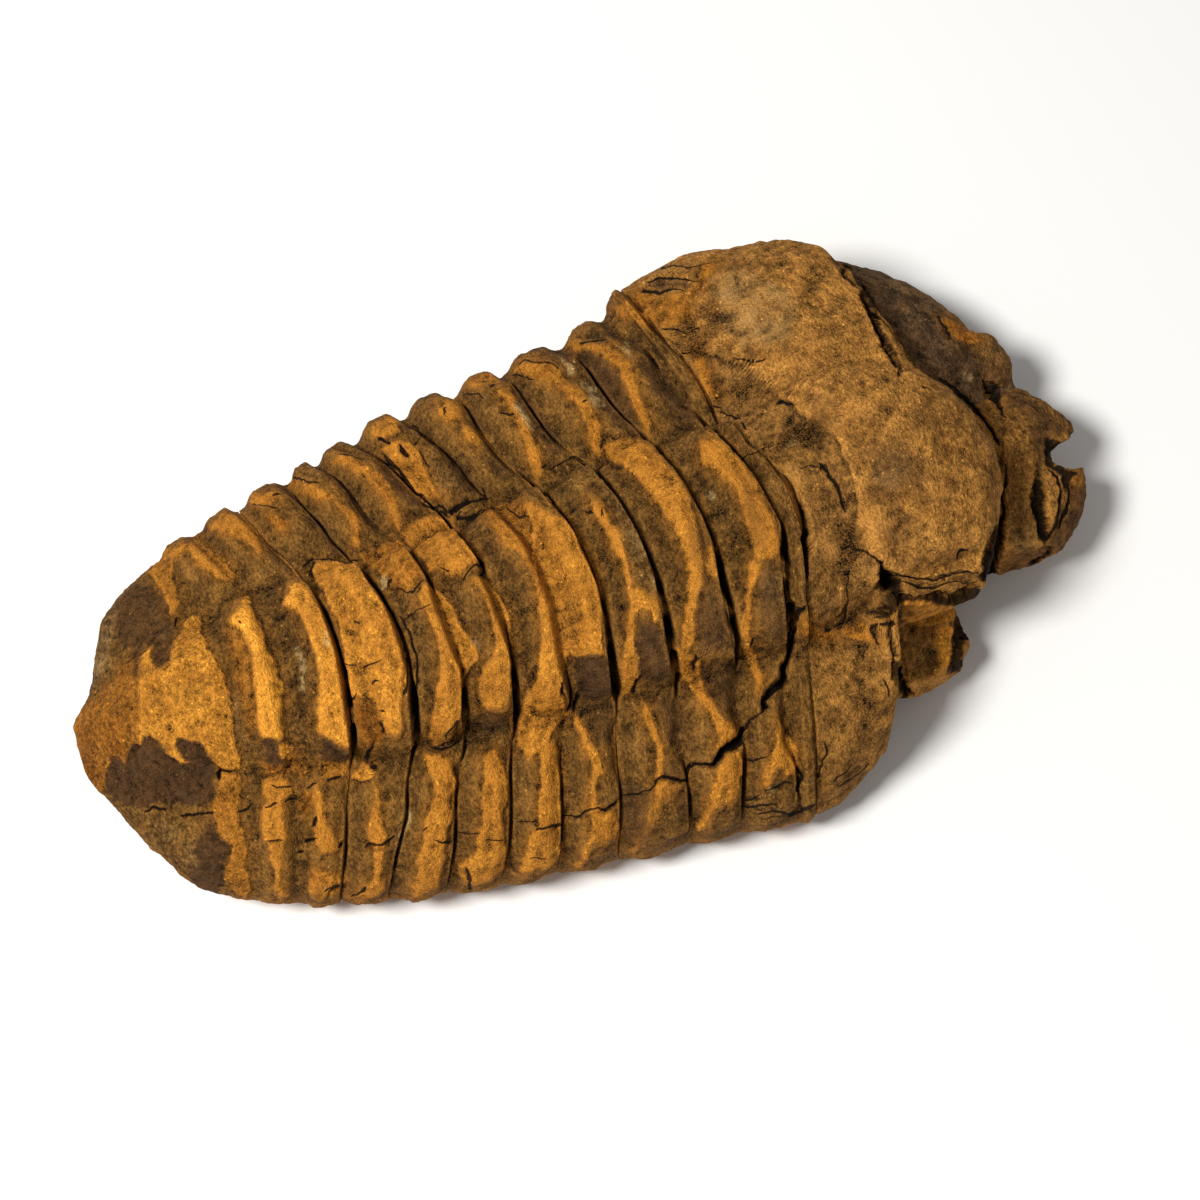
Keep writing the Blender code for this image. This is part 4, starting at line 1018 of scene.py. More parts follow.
class Markings:
    """Everything drawn over the picture, read where it falls on the stone."""

    def __init__(self, points: Array, normals: Array, fade: Span = RELIEF_FADE) -> None:
        """Cast the picture onto a surface.

        Args:
            points: the surface in mm, with xyz last.
            normals: its unit normals.
            fade: cosines to the camera between which the marks fade out.
        """
        self.shape = points.shape[:-1]
        spots = CAMERA.picture(points)
        for size, reach, seed in WANDERS:
            sideways, upright = unevenness(points, size, seed), unevenness(points, size, seed + UPRIGHT_SEED)
            spots = spots + reach * np.stack((sideways, upright), axis=-1)
        self.spots = spots.reshape(-1, 2)
        self.seen = smooth_step(*fade, CAMERA.facing(points, normals))
        self.ragged = (RAGGED_MM * sum(unevenness(points, size, seed) for size, seed in RAGS)).reshape(-1)

    def near(self, mark: Stroke | Patch) -> Array:
        """Indices of the spots that a mark can reach."""
        low, high = mark.box()
        return np.flatnonzero(np.all((self.spots > low) & (self.spots < high), axis=1))

    def patches(self, marks: dict[str, Patch], wall: Span = PLATE_WALL) -> tuple[Array, Array, Array]:
        """Read some patches.

        Args:
            marks: the patches.
            wall: how far inside the edge their rise starts and is full, in mm.

        Returns:
            How far each point lies inside the nearest of them in mm, negative
            outside, the patches' tone there and how far they stand up in mm.
        """
        count = len(self.spots)
        inside = np.full(count, -REACH_PX / PX_PER_MM)
        tone, pulls, rise = np.zeros(count), np.full(count, LEAST_PULL), np.zeros(count)
        for mark in marks.values():
            reached = self.near(mark)
            depth = mark.inside_mm(self.spots[reached])
            inside[reached] = np.maximum(inside[reached], depth)
            pull = np.exp(np.clip(depth, *TONE_REACH_MM) / TONE_BLEND_MM)
            pulls[reached] += pull
            tone[reached] += pull * mark.tone
            lift = mark.rise_mm * smooth_step(*wall, depth + self.ragged[reached])
            rise[reached] = np.where(np.abs(lift) > np.abs(rise[reached]), lift, rise[reached])
        return inside.reshape(self.shape), (tone / pulls).reshape(self.shape), rise.reshape(self.shape)

    def film(self, marks: dict[str, Patch], soft_mm: float) -> Array:
        """How strong a film of colour is on each point, from 0 to 1.

        Args:
            marks: its patches, fainter the higher their tone.
            soft_mm: how soft its edges are.

        Returns:
            The strength at each point.
        """
        strength = np.zeros(len(self.spots))
        for mark in marks.values():
            reached = self.near(mark)
            depth = mark.inside_mm(self.spots[reached]) + FILM_RAGGEDNESS * self.ragged[reached]
            soft = soft_mm + FAINT_SOFT_MM * max(mark.tone, 0.0)
            share = (1 - FAINTEST * max(mark.tone, 0.0)) * smooth_step(-soft, soft, depth)
            strength[reached] = np.maximum(strength[reached], share)
        return strength.reshape(self.shape) * self.seen

    def lines(self, marks: dict[str, Stroke]) -> tuple[Array, Array, Array, Array]:
        """Read the cracks.

        Args:
            marks: the cracks.

        Returns:
            The signed distance beside the nearest crack, the same without its
            sign, the crack's half width and the depth to cut, all in mm.
        """
        count = len(self.spots)
        side, width, depth = np.full(count, LINE_LIMIT_MM), np.full(count, -LINE_LIMIT_MM), np.zeros(count)
        for mark in marks.values():
            reached = self.near(mark)
            distance, half, past = mark.measure(self.spots[reached])
            half = np.maximum(half, THINNEST_PX) - END_TAPER * past
            nearer = np.abs(distance) - half < (np.abs(side[reached]) - width[reached]) * PX_PER_MM
            side[reached] = np.where(nearer, distance / PX_PER_MM, side[reached])
            width[reached] = np.where(nearer, half / PX_PER_MM, width[reached])
            slope = SLOPE_PX + SLOPE_SHARE * np.maximum(half, 0)
            cut = smooth_step(0.0, 1.0, (half + slope - np.abs(distance)) / (2 * slope))
            cut *= mark.depth_mm * smooth_step(0.0, DEEP_PX, half + THINNEST_PX)
            depth[reached] = np.maximum(depth[reached], cut)
        in_view = self.seen.reshape(-1) > SEEN_ENOUGH
        side = np.where(in_view, np.clip(side, -LINE_LIMIT_MM, LINE_LIMIT_MM), LINE_LIMIT_MM)
        width = np.clip(width, -LINE_LIMIT_MM, LINE_LIMIT_MM)
        return tuple(value.reshape(self.shape) for value in (side, np.abs(side), width, depth))

    def cuts(self) -> Array:
        """Height of the cracks and the hollows at each point in mm, below 0."""
        pit = np.maximum(self.patches(PITS, PIT_WALL)[2], -PIT_LIMIT_MM)
        return (pit - self.lines(CRACKS)[3]) * self.seen

    def values(self) -> dict[Mark, Array]:
        """Read the films, the cracks and the hollows as the finish takes them.

        Returns:
            A value for each of these marks at each point.
        """
        side, near, half, _ = self.lines(CRACKS)
        return {
            Mark.STAIN_AND_SHADE: self.film(STAINS_AND_SHADES, STAIN_AND_SHADE_SOFT_MM),
            Mark.GREY: self.film(GREYS, GREY_SOFT_MM),
            Mark.BLEACH: self.film(BLEACHES, BLEACH_SOFT_MM),
            Mark.LINE_SIDE: side,
            Mark.LINE_NEAR: near,
            Mark.LINE_HALF: half,
            # The pits are painted black as shade
            Mark.HOLLOW_SHADE: smooth_step(-HOLLOW_EDGE_MM, HOLLOW_EDGE_MM, self.patches(PITS)[0]) * self.seen,
        }


def wrapped_sphere(name: str, points: Array, marks: dict[Mark, Array]) -> bpy.types.Object:
    """Draw a sphere's rings and meridians out to the given points.

    Args:
        name: the object's name.
        points: rings by meridians by xyz, in the body frame in mm. All of the
            first ring is one pole and all of the last ring the other.
        marks: a value for each mark at each point.

    Returns:
        The new object, in the scene, at the origin.
    """
    rings, meridians = points.shape[:2]
    shape = bmesh.new()
    bmesh.ops.create_uvsphere(shape, u_segments=meridians, v_segments=rings - 1, radius=1.0)
    places = (points + BODY_SHIFT) * MM
    rows, columns = [], []
    for vertex in shape.verts:
        x, y, z = vertex.co
        row = round(math.acos(max(-1.0, min(1.0, z))) / math.pi * (rings - 1))
        column = round(math.atan2(y, x) / (2 * math.pi) * meridians) % meridians
        vertex.co = places[row, column]
        rows.append(row)
        columns.append(column)
    bmesh.ops.recalc_face_normals(shape, faces=shape.faces)
    mesh = bpy.data.meshes.new(name)
    shape.to_mesh(mesh)
    shape.free()
    mesh.shade_smooth()
    for mark, values in marks.items():
        attribute = mesh.attributes.new(mark.value, "FLOAT", "POINT")
        attribute.data.foreach_set("value", values[rows, columns].astype(np.float32))
    piece = bpy.data.objects.new(name, mesh)
    bpy.context.scene.collection.objects.link(piece)
    return piece


def softened(grid: Array, passes: int, axis: int) -> Array:
    """Average a grid with its neighbours along one of its ways.

    Args:
        grid: the grid, open along its first way and closed round its second.
        passes: how often it is averaged.
        axis: 0 for the first way and 1 for the second.

    Returns:
        The evened grid.
    """
    for _ in range(passes):
        if axis == 1:
            grid = (np.roll(grid, 1, axis=1) + 2 * grid + np.roll(grid, -1, axis=1)) / 4
        else:
            padded = np.concatenate((grid[:1], grid, grid[-1:]))
            grid = (padded[:-2] + 2 * grid + padded[2:]) / 4
    return grid


def evened(grid: Array, passes: int) -> Array:
    """A grid averaged along both of its ways."""
    return softened(softened(grid, passes, 0), passes, 1)


def grid_normals(points: Array) -> Array:
    """Find how a grid of points faces.

    Args:
        points: rings by meridians by xyz, closed round the second way.

    Returns:
        The outward unit normal at each point.
    """
    along = np.gradient(points, axis=0)
    around = np.roll(points, -1, axis=1) - np.roll(points, 1, axis=1)
    normals = np.cross(around, along)
    normals /= np.maximum(np.linalg.norm(normals, axis=-1, keepdims=True), SHORTEST)
    outwards = points - points.mean(axis=1, keepdims=True)
    return -normals if np.sum(normals * outwards) < 0 else normals


def painted_relief_shading(points: Array) -> Array:
    """How far each point stands out of the stone round it, from -1 to 1, which the finish turns into painted
    light and shade.

    Args:
        points: the surface in mm, as rings by meridians by xyz.

    Returns:
        Above 0 on edges and bumps, below 0 in hollows.
    """
    normals = grid_normals(evened(points, RELIEF_SHADING_NORMAL_PASSES))
    worn = np.zeros(points.shape[:2])
    for passes, scale_mm in RELIEF_SHADING_SCALES:
        out = np.sum((points - evened(points, passes)) * normals, axis=-1)
        worn += np.clip(out / scale_mm, -1.0, 1.0) / len(RELIEF_SHADING_SCALES)
    return worn


def raised(form: Array, normals: Array, height: Array, wander: tuple[Span, ...]) -> Array:
    """Raise a plain form by its relief and roughen it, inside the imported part's box.

    Args:
        form: the plain form in mm, as rings by meridians by xyz.
        normals: its unit normals.
        height: how far its relief stands up at each point, in mm.
        wander: size and amount of its unevenness, in mm.

    Returns:
        The points, with the first and the last ring drawn together.
    """
    for spacing, amount in wander:
        height = height + amount * unevenness(form, spacing, spacing)
    low, high = (np.array(corner) / MM - BODY_SHIFT for corner in PART_BOX)
    points = np.clip(form + normals * height[..., None], low + HAIR_MM, high - HAIR_MM)
    points[0] = points[0].mean(axis=0)
    points[-1] = points[-1].mean(axis=0)
    return points


HAIR_MM = 0.01
SHORTEST = 1e-9
# Passes that even out the surface that the colours and the painted light and shade of the relief are read on
COLOUR_PASSES = 6
RELIEF_SHADING_NORMAL_PASSES = 2
# The painted light and shade of the relief is read at two sizes: passes, and the height in mm that counts in
# full
RELIEF_SHADING_SCALES = ((5, 0.05), (20, 0.11))

# The gap behind the head, and the belly's middle counted in shares across
HEAD = len(PLAN.gaps) - 1
BELLY_MIDDLE = 1.5

# How the creases at the furrows are rounded off, first everywhere and then more
# on the tail: width as a share of the back, passes, and where the tail ends
CREASE_WIDTH = 0.10
CREASE_PASSES = 24
TAIL_WIDTH = 0.26
TAIL_PASSES = 420
TAIL_END_MM = (-30.0, -25.5)
TAIL_INSIDE = 0.92

# How gaps are moved onto their drawn routes: reach and limit counted in gaps,
# steps, strips evened together, and the fade on the belly
BEND_REACH = 0.6
BEND_SAMPLES = 41
BEND_WINDOW = 21
BEND_LIMIT = 0.45
BEND_FADE = 0.3
EDGE_PX = 12.0
CROSSING_PX = 30.0

# Shares of a ring's length over which its ridge rises, sags and drops
MIDDLE_RISES = ((0.22, (0.0, 0.45)), (0.78, (0.22, 0.68)))
PLATE_RISE = (0.03, 0.42)
PLATE_SAG = 0.5
PLATE_SAGS = (0.70, 0.955)
NEAR_TIP = ((0.0, 0.40), (0.50, 1.0))
FAR_TIP = ((0.0, 0.34), (0.30, 1.0))
DROP_START = 0.78
DROP_DELAY = 0.175
TAIL_DIP = (0.3, 1.0)
# Height of the ridges: their floor, how they fade off the crest, on the ribs,
# at the ribs' ends and on the belly
FLOOR = 0.35
CREST_POWER = 0.7
AXIS_TO_RIB = (0.75, 1.25)
RIB_FULL = 0.28
RIB_END = (0.80, 0.97)
END_LOSS = 0.4
BELLY_HEIGHT = 0.6

# The slots in the gaps: reach counted in gaps, slope of the walls, narrower and
# shallower on the near ribs and the belly, and broken up by slow unevenness
SLOT_REACH = 0.3
SLOT_WALL_MM = 0.08
SLOT_LEAST_PX = 0.2
STEEP_PX = (0.2, 1.6)
NEAR_SLOT_WIDTH = 0.7
NEAR_SLOT_DEPTH = 0.6
BELLY_SLOT_DEPTH = 0.3
SLOT_BREAK_MM = 1.7
SLOT_BREAK_SEED = 31.0
SLOT_MEAN = 0.80
SLOT_SWING = 1.9
SLOT_LIMITS = (0.12, 1.0)

# The crust where no patch is drawn, and the colours of the head
RING_LENGTH_MM = 4.2
BARE_MM = -1.0
TAIL_BARE_MM = -0.3
HEAD_SAND = 0.55
HIDDEN_SAND = (0.2, BELLY_MIDDLE)
SHIELD_SOFT_MM = 0.12
SHIELD_LEVEL = 0.8
COLLAR_SOFT_MM = 0.2
COLLAR_GLOOM = 0.1


@dataclass
class Skin:
    """One stretch of the weathered skin, from one place along the animal to another.

    Attributes:
        name: the piece's name.
        start: where it starts, counted in gaps; -1 is the tail's tip.
        end: where it ends; one past the last gap is the front of the head.
        tip_steps: rings of points over the tail's tip.
        ring_steps: rings of points over each of the animal's rings.
        front_steps: rings of points over the head.
        back_strips: strips over the back.
        belly_strips: strips over the belly.
        crowding: how far the rings of points crowd together at the gaps.
        carry: share of the ridges' height that runs on over the right and the
            left furrow.
        axis_relief: x and the height of the ridges on the axis, in mm.
        rib_relief: x and the height of the ridges on the ribs, in mm.
        slot_depth_mm: depth of the deepest slots.
        wander: size and amount of its unevenness, in mm.
        rings: place of each ring of points along the animal, counted in gaps.
    """

    name: str
    start: int
    end: int
    tip_steps: int = 110
    ring_steps: int = 30
    front_steps: int = 250
    back_strips: int = 270
    belly_strips: int = 40
    crowding: float = 0.09
    carry: Span = (0.38, 0.2)
    axis_relief: Numbers = (
        -38.9,0, -31,0.1, -28,0.6, -22,0.9, -14,1.1, 10,1.2, 13.5,0.8, 16.5,0.2, 20,0, 30.4,0,
    )
    rib_relief: Numbers = (-38.9,0, -32,0.1, -29,0.5, -20,0.8, -4,1, 9,0.9, 13,0.3, 16,0, 30.4,0)
    slot_depth_mm: float = 1.5
    wander: tuple[Span, ...] = ((5.0, 0.22), (1.6, 0.16), (0.6, 0.10), (0.3, 0.06))
    rings: Array = field(init=False)

    def __post_init__(self) -> None:
        """Space the rings of points, close together at the gaps."""
        places = []
        if self.start < 0:
            places.append(np.linspace(-1.0, 0.0, self.tip_steps, endpoint=False))
        even = np.linspace(0.0, 1.0, self.ring_steps, endpoint=False)
        crowded = even - self.crowding * np.sin(2 * math.pi * even)
        for ring in range(max(self.start, 0), min(self.end, HEAD)):
            places.append(ring + crowded)
        if self.end > HEAD:
            places.append(np.linspace(HEAD, HEAD + 1, self.front_steps))
        else:
            places.append(np.array([float(self.end)]))
        self.rings = np.concatenate(places)

    def across(self) -> Array:
        """Spread the strips over the back and the belly.

        Returns:
            The share across the back of each strip, -1 to 1, and past 1 the
            belly's strips.
        """
        backs = np.linspace(-1.0, 1.0, self.back_strips, endpoint=False)
        bellies = 1.0 + np.linspace(0.0, 1.0, self.belly_strips, endpoint=False)
        return np.concatenate((backs, bellies))

    def form(self, rings: Array) -> Array:
        """The plain form at a ring place for each ring of points and strip.

        Args:
            rings: a place along the animal for each ring of points and strip.

        Returns:
            The points in mm, with the creases at the furrows rounded off.
        """
        across = self.across()
        columns = []
        for strip, share in enumerate(across):
            if share < 1.0:
                columns.append(PLAN.back(rings[:, strip], share))
            else:
                columns.append(PLAN.belly(rings[:, strip], share - 1.0))
        sharp = np.stack(columns, axis=1)
        off_furrow = np.abs(across) - PLAN.axis_share
        narrow = np.exp(-((off_furrow / CREASE_WIDTH) ** 2)) * (across < 1.0)
        round_form = softened(sharp, CREASE_PASSES, 1)
        form = sharp + (round_form - sharp) * narrow[None, :, None]
        tail = 1 - smooth_step(*TAIL_END_MM, sharp[..., 0])
        if np.any(tail > 0):
            wide = np.exp(-((off_furrow / TAIL_WIDTH) ** 2)) * (np.abs(across) < TAIL_INSIDE)
            rounder = softened(round_form, TAIL_PASSES, 1)
            form += (rounder - form) * (tail * wide[None, :])[..., None]
        return form

    def gap_shifts(self, gap: int) -> Array:
        """Find how far a gap has to move on each strip to lie on its drawn route.

        Args:
            gap: the gap's number.

        Returns:
            The shift counted in gaps, or nan where the route doesn't cross the
            strip.
        """
        strips = self.across()
        samples = np.linspace(-BEND_REACH, BEND_REACH, BEND_SAMPLES)
        places = np.clip(gap + samples, -1.0, len(PLAN.gaps))
        spots = CAMERA.picture(self.form(np.repeat(places[:, None], len(strips), axis=1)))
        side = Stroke(GAP_ROUTES[gap]).measure(spots.reshape(-1, 2))[0].reshape(spots.shape[:-1])
        heights = GAP_ROUTES[gap][1::3]
        middle = spots[len(samples) // 2, :, 1]
        in_view = (strips < 1.0) & (min(heights) - EDGE_PX < middle) & (middle < max(heights) + EDGE_PX)
        shifts = np.full(len(strips), np.nan)
        for strip in np.flatnonzero(in_view):
            turns = np.flatnonzero(np.diff(np.sign(side[:, strip])) != 0)
            turns = turns[np.abs(side[turns, strip]) < CROSSING_PX]
            if len(turns):
                turn = turns[np.argmin(np.abs(samples[turns]))]
                here, ahead = side[turn, strip], side[turn + 1, strip]
                shifts[strip] = samples[turn] + (samples[turn + 1] - samples[turn]) * here / (here - ahead)
        return shifts

    def bent_rings(self) -> Array:
        """Bend the rings so that each gap runs where the picture shows it.

        Returns:
            The place along the animal, counted in gaps, of each ring of points
            and strip.
        """
        strips = self.across()
        backs = strips < 1.0
        window = np.hanning(BEND_WINDOW)
        bends = np.zeros((len(PLAN.gaps), len(strips)))
        for gap, bend in enumerate(bends):
            shifts = self.gap_shifts(gap)
            known = np.flatnonzero(~np.isnan(shifts))
            if len(known):
                filled = np.interp(np.arange(backs.sum()), known, shifts[known])
                padded = np.pad(filled, BEND_WINDOW // 2, mode="edge")
                bend[backs] = np.convolve(padded, window / window.sum(), mode="valid")
                fade = 1 - smooth_step(0.0, BEND_FADE, strips[~backs] - 1.0)
                bend[~backs] = bend[backs][-1] * fade + bend[0] * fade[::-1]
        bends = np.clip(bends, -BEND_LIMIT, BEND_LIMIT)
        marks = np.concatenate(([-1.0], np.arange(len(bends)), [float(len(bends))]))
        bent = np.empty((len(self.rings), len(strips)))
        for strip in range(len(strips)):
            bend = np.concatenate(([0.0], bends[:, strip], [0.0]))
            bent[:, strip] = self.rings + np.interp(self.rings, marks, bend)
        return bent

    def regions(self) -> tuple[Array, Array, Array]:
        """Sort the strips.

        Returns:
            Which strips are near rib, which are axis and which are far rib.
        """
        across = self.across()
        near = (across < -PLAN.axis_share) | (across > BELLY_MIDDLE)
        axis = np.abs(across) <= PLAN.axis_share
        return near, axis, ~near & ~axis

    def ridge(self, form: Array) -> Array:
        """Height of the ring ridges over the plain form.

        The rings' middles stand up towards the head from a hollow floor. The
        ribs beside them are flat plates, each a step above the next one's
        start, and their ends are low bumps.

        Args:
            form: the plain form, in mm.

        Returns:
            The height at each point, in mm.
        """
        across = self.across()
        number = np.floor(self.rings)[:, None]
        phase = self.rings[:, None] - number
        drop = 1 - smooth_step(DROP_START + DROP_DELAY * self.steepness(form), 1.0, phase)
        middle = sum(amount * smooth_step(*span, phase) for amount, span in MIDDLE_RISES) * drop
        plate = smooth_step(*PLATE_RISE, phase) * (1 - PLATE_SAG * smooth_step(*PLATE_SAGS, phase)) * drop
        near_tip, far_tip = (
            smooth_step(*rise, phase) * (1 - smooth_step(*fall, phase)) for rise, fall in (NEAR_TIP, FAR_TIP)
        )
        tip = np.where((across < 0) | (across > BELLY_MIDDLE), near_tip, far_tip)
        carry = np.where(across < 0, *self.carry)
        lean = np.cos(np.clip(across / PLAN.axis_share, -1, 1) * math.pi / 2)
        axis_fade = carry + (1 - carry) * lean**CREST_POWER
        out = np.clip((np.abs(across) - PLAN.axis_share) / (1 - PLAN.axis_share), 0, 1)
        rib_fade = carry + (1 - carry) * smooth_step(0.0, RIB_FULL, out)
        end = smooth_step(*RIB_END, out)
        belly = across >= 1.0
        rib_fade[belly] = BELLY_HEIGHT * (1 - np.sin((across[belly] - 1.0) * math.pi)) ** 2
        end[belly] = 1.0
        rib_fade = rib_fade * (1 - END_LOSS * end)
        axis_side, rib_side = (share * PLAN.axis_share for share in AXIS_TO_RIB)
        towards_rib = smooth_step(axis_side, rib_side, np.abs(across))
        body = middle * (1 - towards_rib) + plate * towards_rib
        profile = body * (1 - end) + tip * end - FLOOR
        # The tail shield is smooth and dips only towards the first true ring
        profile = np.where(number == 0, -FLOOR * smooth_step(*TAIL_DIP, phase), profile)
        profile = np.where((number < 0) | (number >= HEAD), 0.0, profile)
        on_axis = smooth_curve(self.axis_relief, form[..., 0]) * axis_fade
        on_rib = smooth_curve(self.rib_relief, form[..., 0]) * rib_fade
        return profile * np.where(np.abs(across) < PLAN.axis_share, on_axis, on_rib)

    def slot_widths(self, form: Array) -> Array:
        """Read how wide the black slots are drawn.

        Args:
            form: the plain form, in mm.

        Returns:
            Half width of the slot at each gap and strip, in pixels.
        """
        widths = np.zeros((len(PLAN.gaps), form.shape[1]))
        for gap in range(max(self.start, 0), min(self.end, HEAD) + 1):
            line = np.argmin(np.abs(self.rings - gap))
            widths[gap] = Stroke(GAP_ROUTES[gap]).measure(CAMERA.picture(form[line]))[1]
        return widths

    def steepness(self, form: Array) -> Array:
        """How sharply each ring ends at the gap ahead of it, from 0 to 1."""
        ahead = np.clip(np.floor(self.rings).astype(int) + 1, 0, HEAD)
        return smooth_step(*STEEP_PX, self.slot_widths(form)[ahead])

    def slots(self, form: Array) -> Array:
        """The slots in the gaps, whose depth also sets the painted black shade in them.

        Args:
            form: the plain form, in mm.

        Returns:
            How deep each point is in one, as a share of the deepest.
        """
        depth = np.zeros(form.shape[:2])
        near = self.across() < -PLAN.axis_share
        for gap, width in enumerate(self.slot_widths(form)):
            band = np.flatnonzero(np.abs(self.rings - gap) < SLOT_REACH)
            if len(band):
                half = width * np.where(near, NEAR_SLOT_WIDTH, 1.0)
                away = np.linalg.norm(form[band] - form[np.argmin(np.abs(self.rings - gap))], axis=-1)
                cut = smooth_step(0.0, 1.0, (half / PX_PER_MM + SLOT_WALL_MM - away) / (2 * SLOT_WALL_MM))
                depth[band] = np.maximum(depth[band], cut * smooth_step(SLOT_LEAST_PX, DEEP_PX, half))
        depth[:, self.across() >= 1.0] *= BELLY_SLOT_DEPTH
        breaks = SLOT_MEAN + SLOT_SWING * unevenness(form, SLOT_BREAK_MM, SLOT_BREAK_SEED)
        depth *= np.clip(breaks, *SLOT_LIMITS)
        depth[:, near] *= NEAR_SLOT_DEPTH
        return depth

    def crust(self, marks: Markings) -> tuple[Array, Array, Array]:
        """The ochre crust, as drawn where the picture shows it and guessed elsewhere.

        Args:
            marks: what is drawn on the skin.

        Returns:
            How far each point lies inside the crust in mm, its tone and how far
            it stands up in mm.
        """
        number = np.floor(self.rings).astype(int)
        share = self.rings - number
        inside = np.full(marks.shape, BARE_MM)
        for ring, shares in enumerate(CRUST_SHARES):
            rows = np.flatnonzero(number == ring)
            for region, (low, high) in zip(self.regions(), shares):
                if high > low:
                    edge = np.minimum(share[rows] - low, high - share[rows]) * RING_LENGTH_MM
                    inside[np.ix_(rows, np.flatnonzero(region))] = edge[:, None]
        if self.start < 0:
            inside[self.rings < 0] = TAIL_BARE_MM
        drawn, tone, rise = marks.patches(CRUSTS)
        return inside + (drawn - inside) * marks.seen, tone * marks.seen, rise * marks.seen

    def head_shares(self, marks: Markings) -> tuple[Array, Array]:
        """Read the sandy shield and the darker collar behind it.

        Args:
            marks: what is drawn on the skin.

        Returns:
            The share of each at each point, from 0 to 1.
        """
        across = self.across()
        ahead = (self.rings > HEAD)[:, None]
        hidden = np.where(ahead & (across > HIDDEN_SAND[0]) & (across < HIDDEN_SAND[1]), 1.0, 0.0)
        shield = smooth_step(-SHIELD_SOFT_MM, SHIELD_SOFT_MM, marks.patches({"shield": SHIELD})[0]) * ahead
        collar = smooth_step(-COLLAR_SOFT_MM, COLLAR_SOFT_MM, marks.patches({"collar": COLLAR})[0])
        shield = np.maximum(shield, HEAD_SAND * ahead)
        return hidden + (shield - hidden) * marks.seen, collar * ahead * marks.seen

    def build(self) -> bpy.types.Object:
        """Model the stretch of skin with its relief and its marks.

        Returns:
            The new piece.
        """
        form = self.form(self.bent_rings())
        normals = grid_normals(form)
        plain = Markings(form, normals)
        slot = self.slots(form)
        height = self.ridge(form) + self.crust(plain)[2] - slot * self.slot_depth_mm + plain.cuts()
        height += SHIELD.rise_mm * (self.head_shares(plain)[0] - SHIELD_LEVEL) * (self.rings > HEAD)[:, None]
        points = raised(form, normals, height, self.wander)
        marks = Markings(points, grid_normals(evened(points, COLOUR_PASSES)), COLOUR_FADE)
        crust, tone, _ = self.crust(marks)
        shield, collar = self.head_shares(marks)
        values = marks.values()
        values |= {
            Mark.CRUST: crust,
            Mark.CRUST_TONE: tone,
            Mark.SAND: shield,
            Mark.GLOOM: COLLAR_GLOOM * collar,
            # The slots and the pits are painted black as shade
            Mark.HOLLOW_SHADE: np.maximum(slot, values[Mark.HOLLOW_SHADE]),
            # Raised places painted lighter and hollows painted darker, as light and shade
            Mark.RELIEF_LIGHT_AND_SHADE: painted_relief_shading(points),
        }
        return wrapped_sphere(self.name, points, values)


# The lumps' slow unevenness, and the notch between the front lips
LUMP_SPACING_MM = 5.0
LUMP_ROUGHNESS_MM = 0.3
NOTCH_CENTRE = (37.9, 1.0, 6.5)
NOTCH_RADII = (2.9, 1.25, 1.0)
TO_TAIL = np.array((-1.0, 0.0, 0.0))
# The pale strips on the front: how soft their edges are, and how much gloom they hide
STRIPS = {"strip": FRONT_STRIP, "lip": INNER_LIP}
STRIP_SOFT_MM = 0.15
STRIP_COVER = 0.7


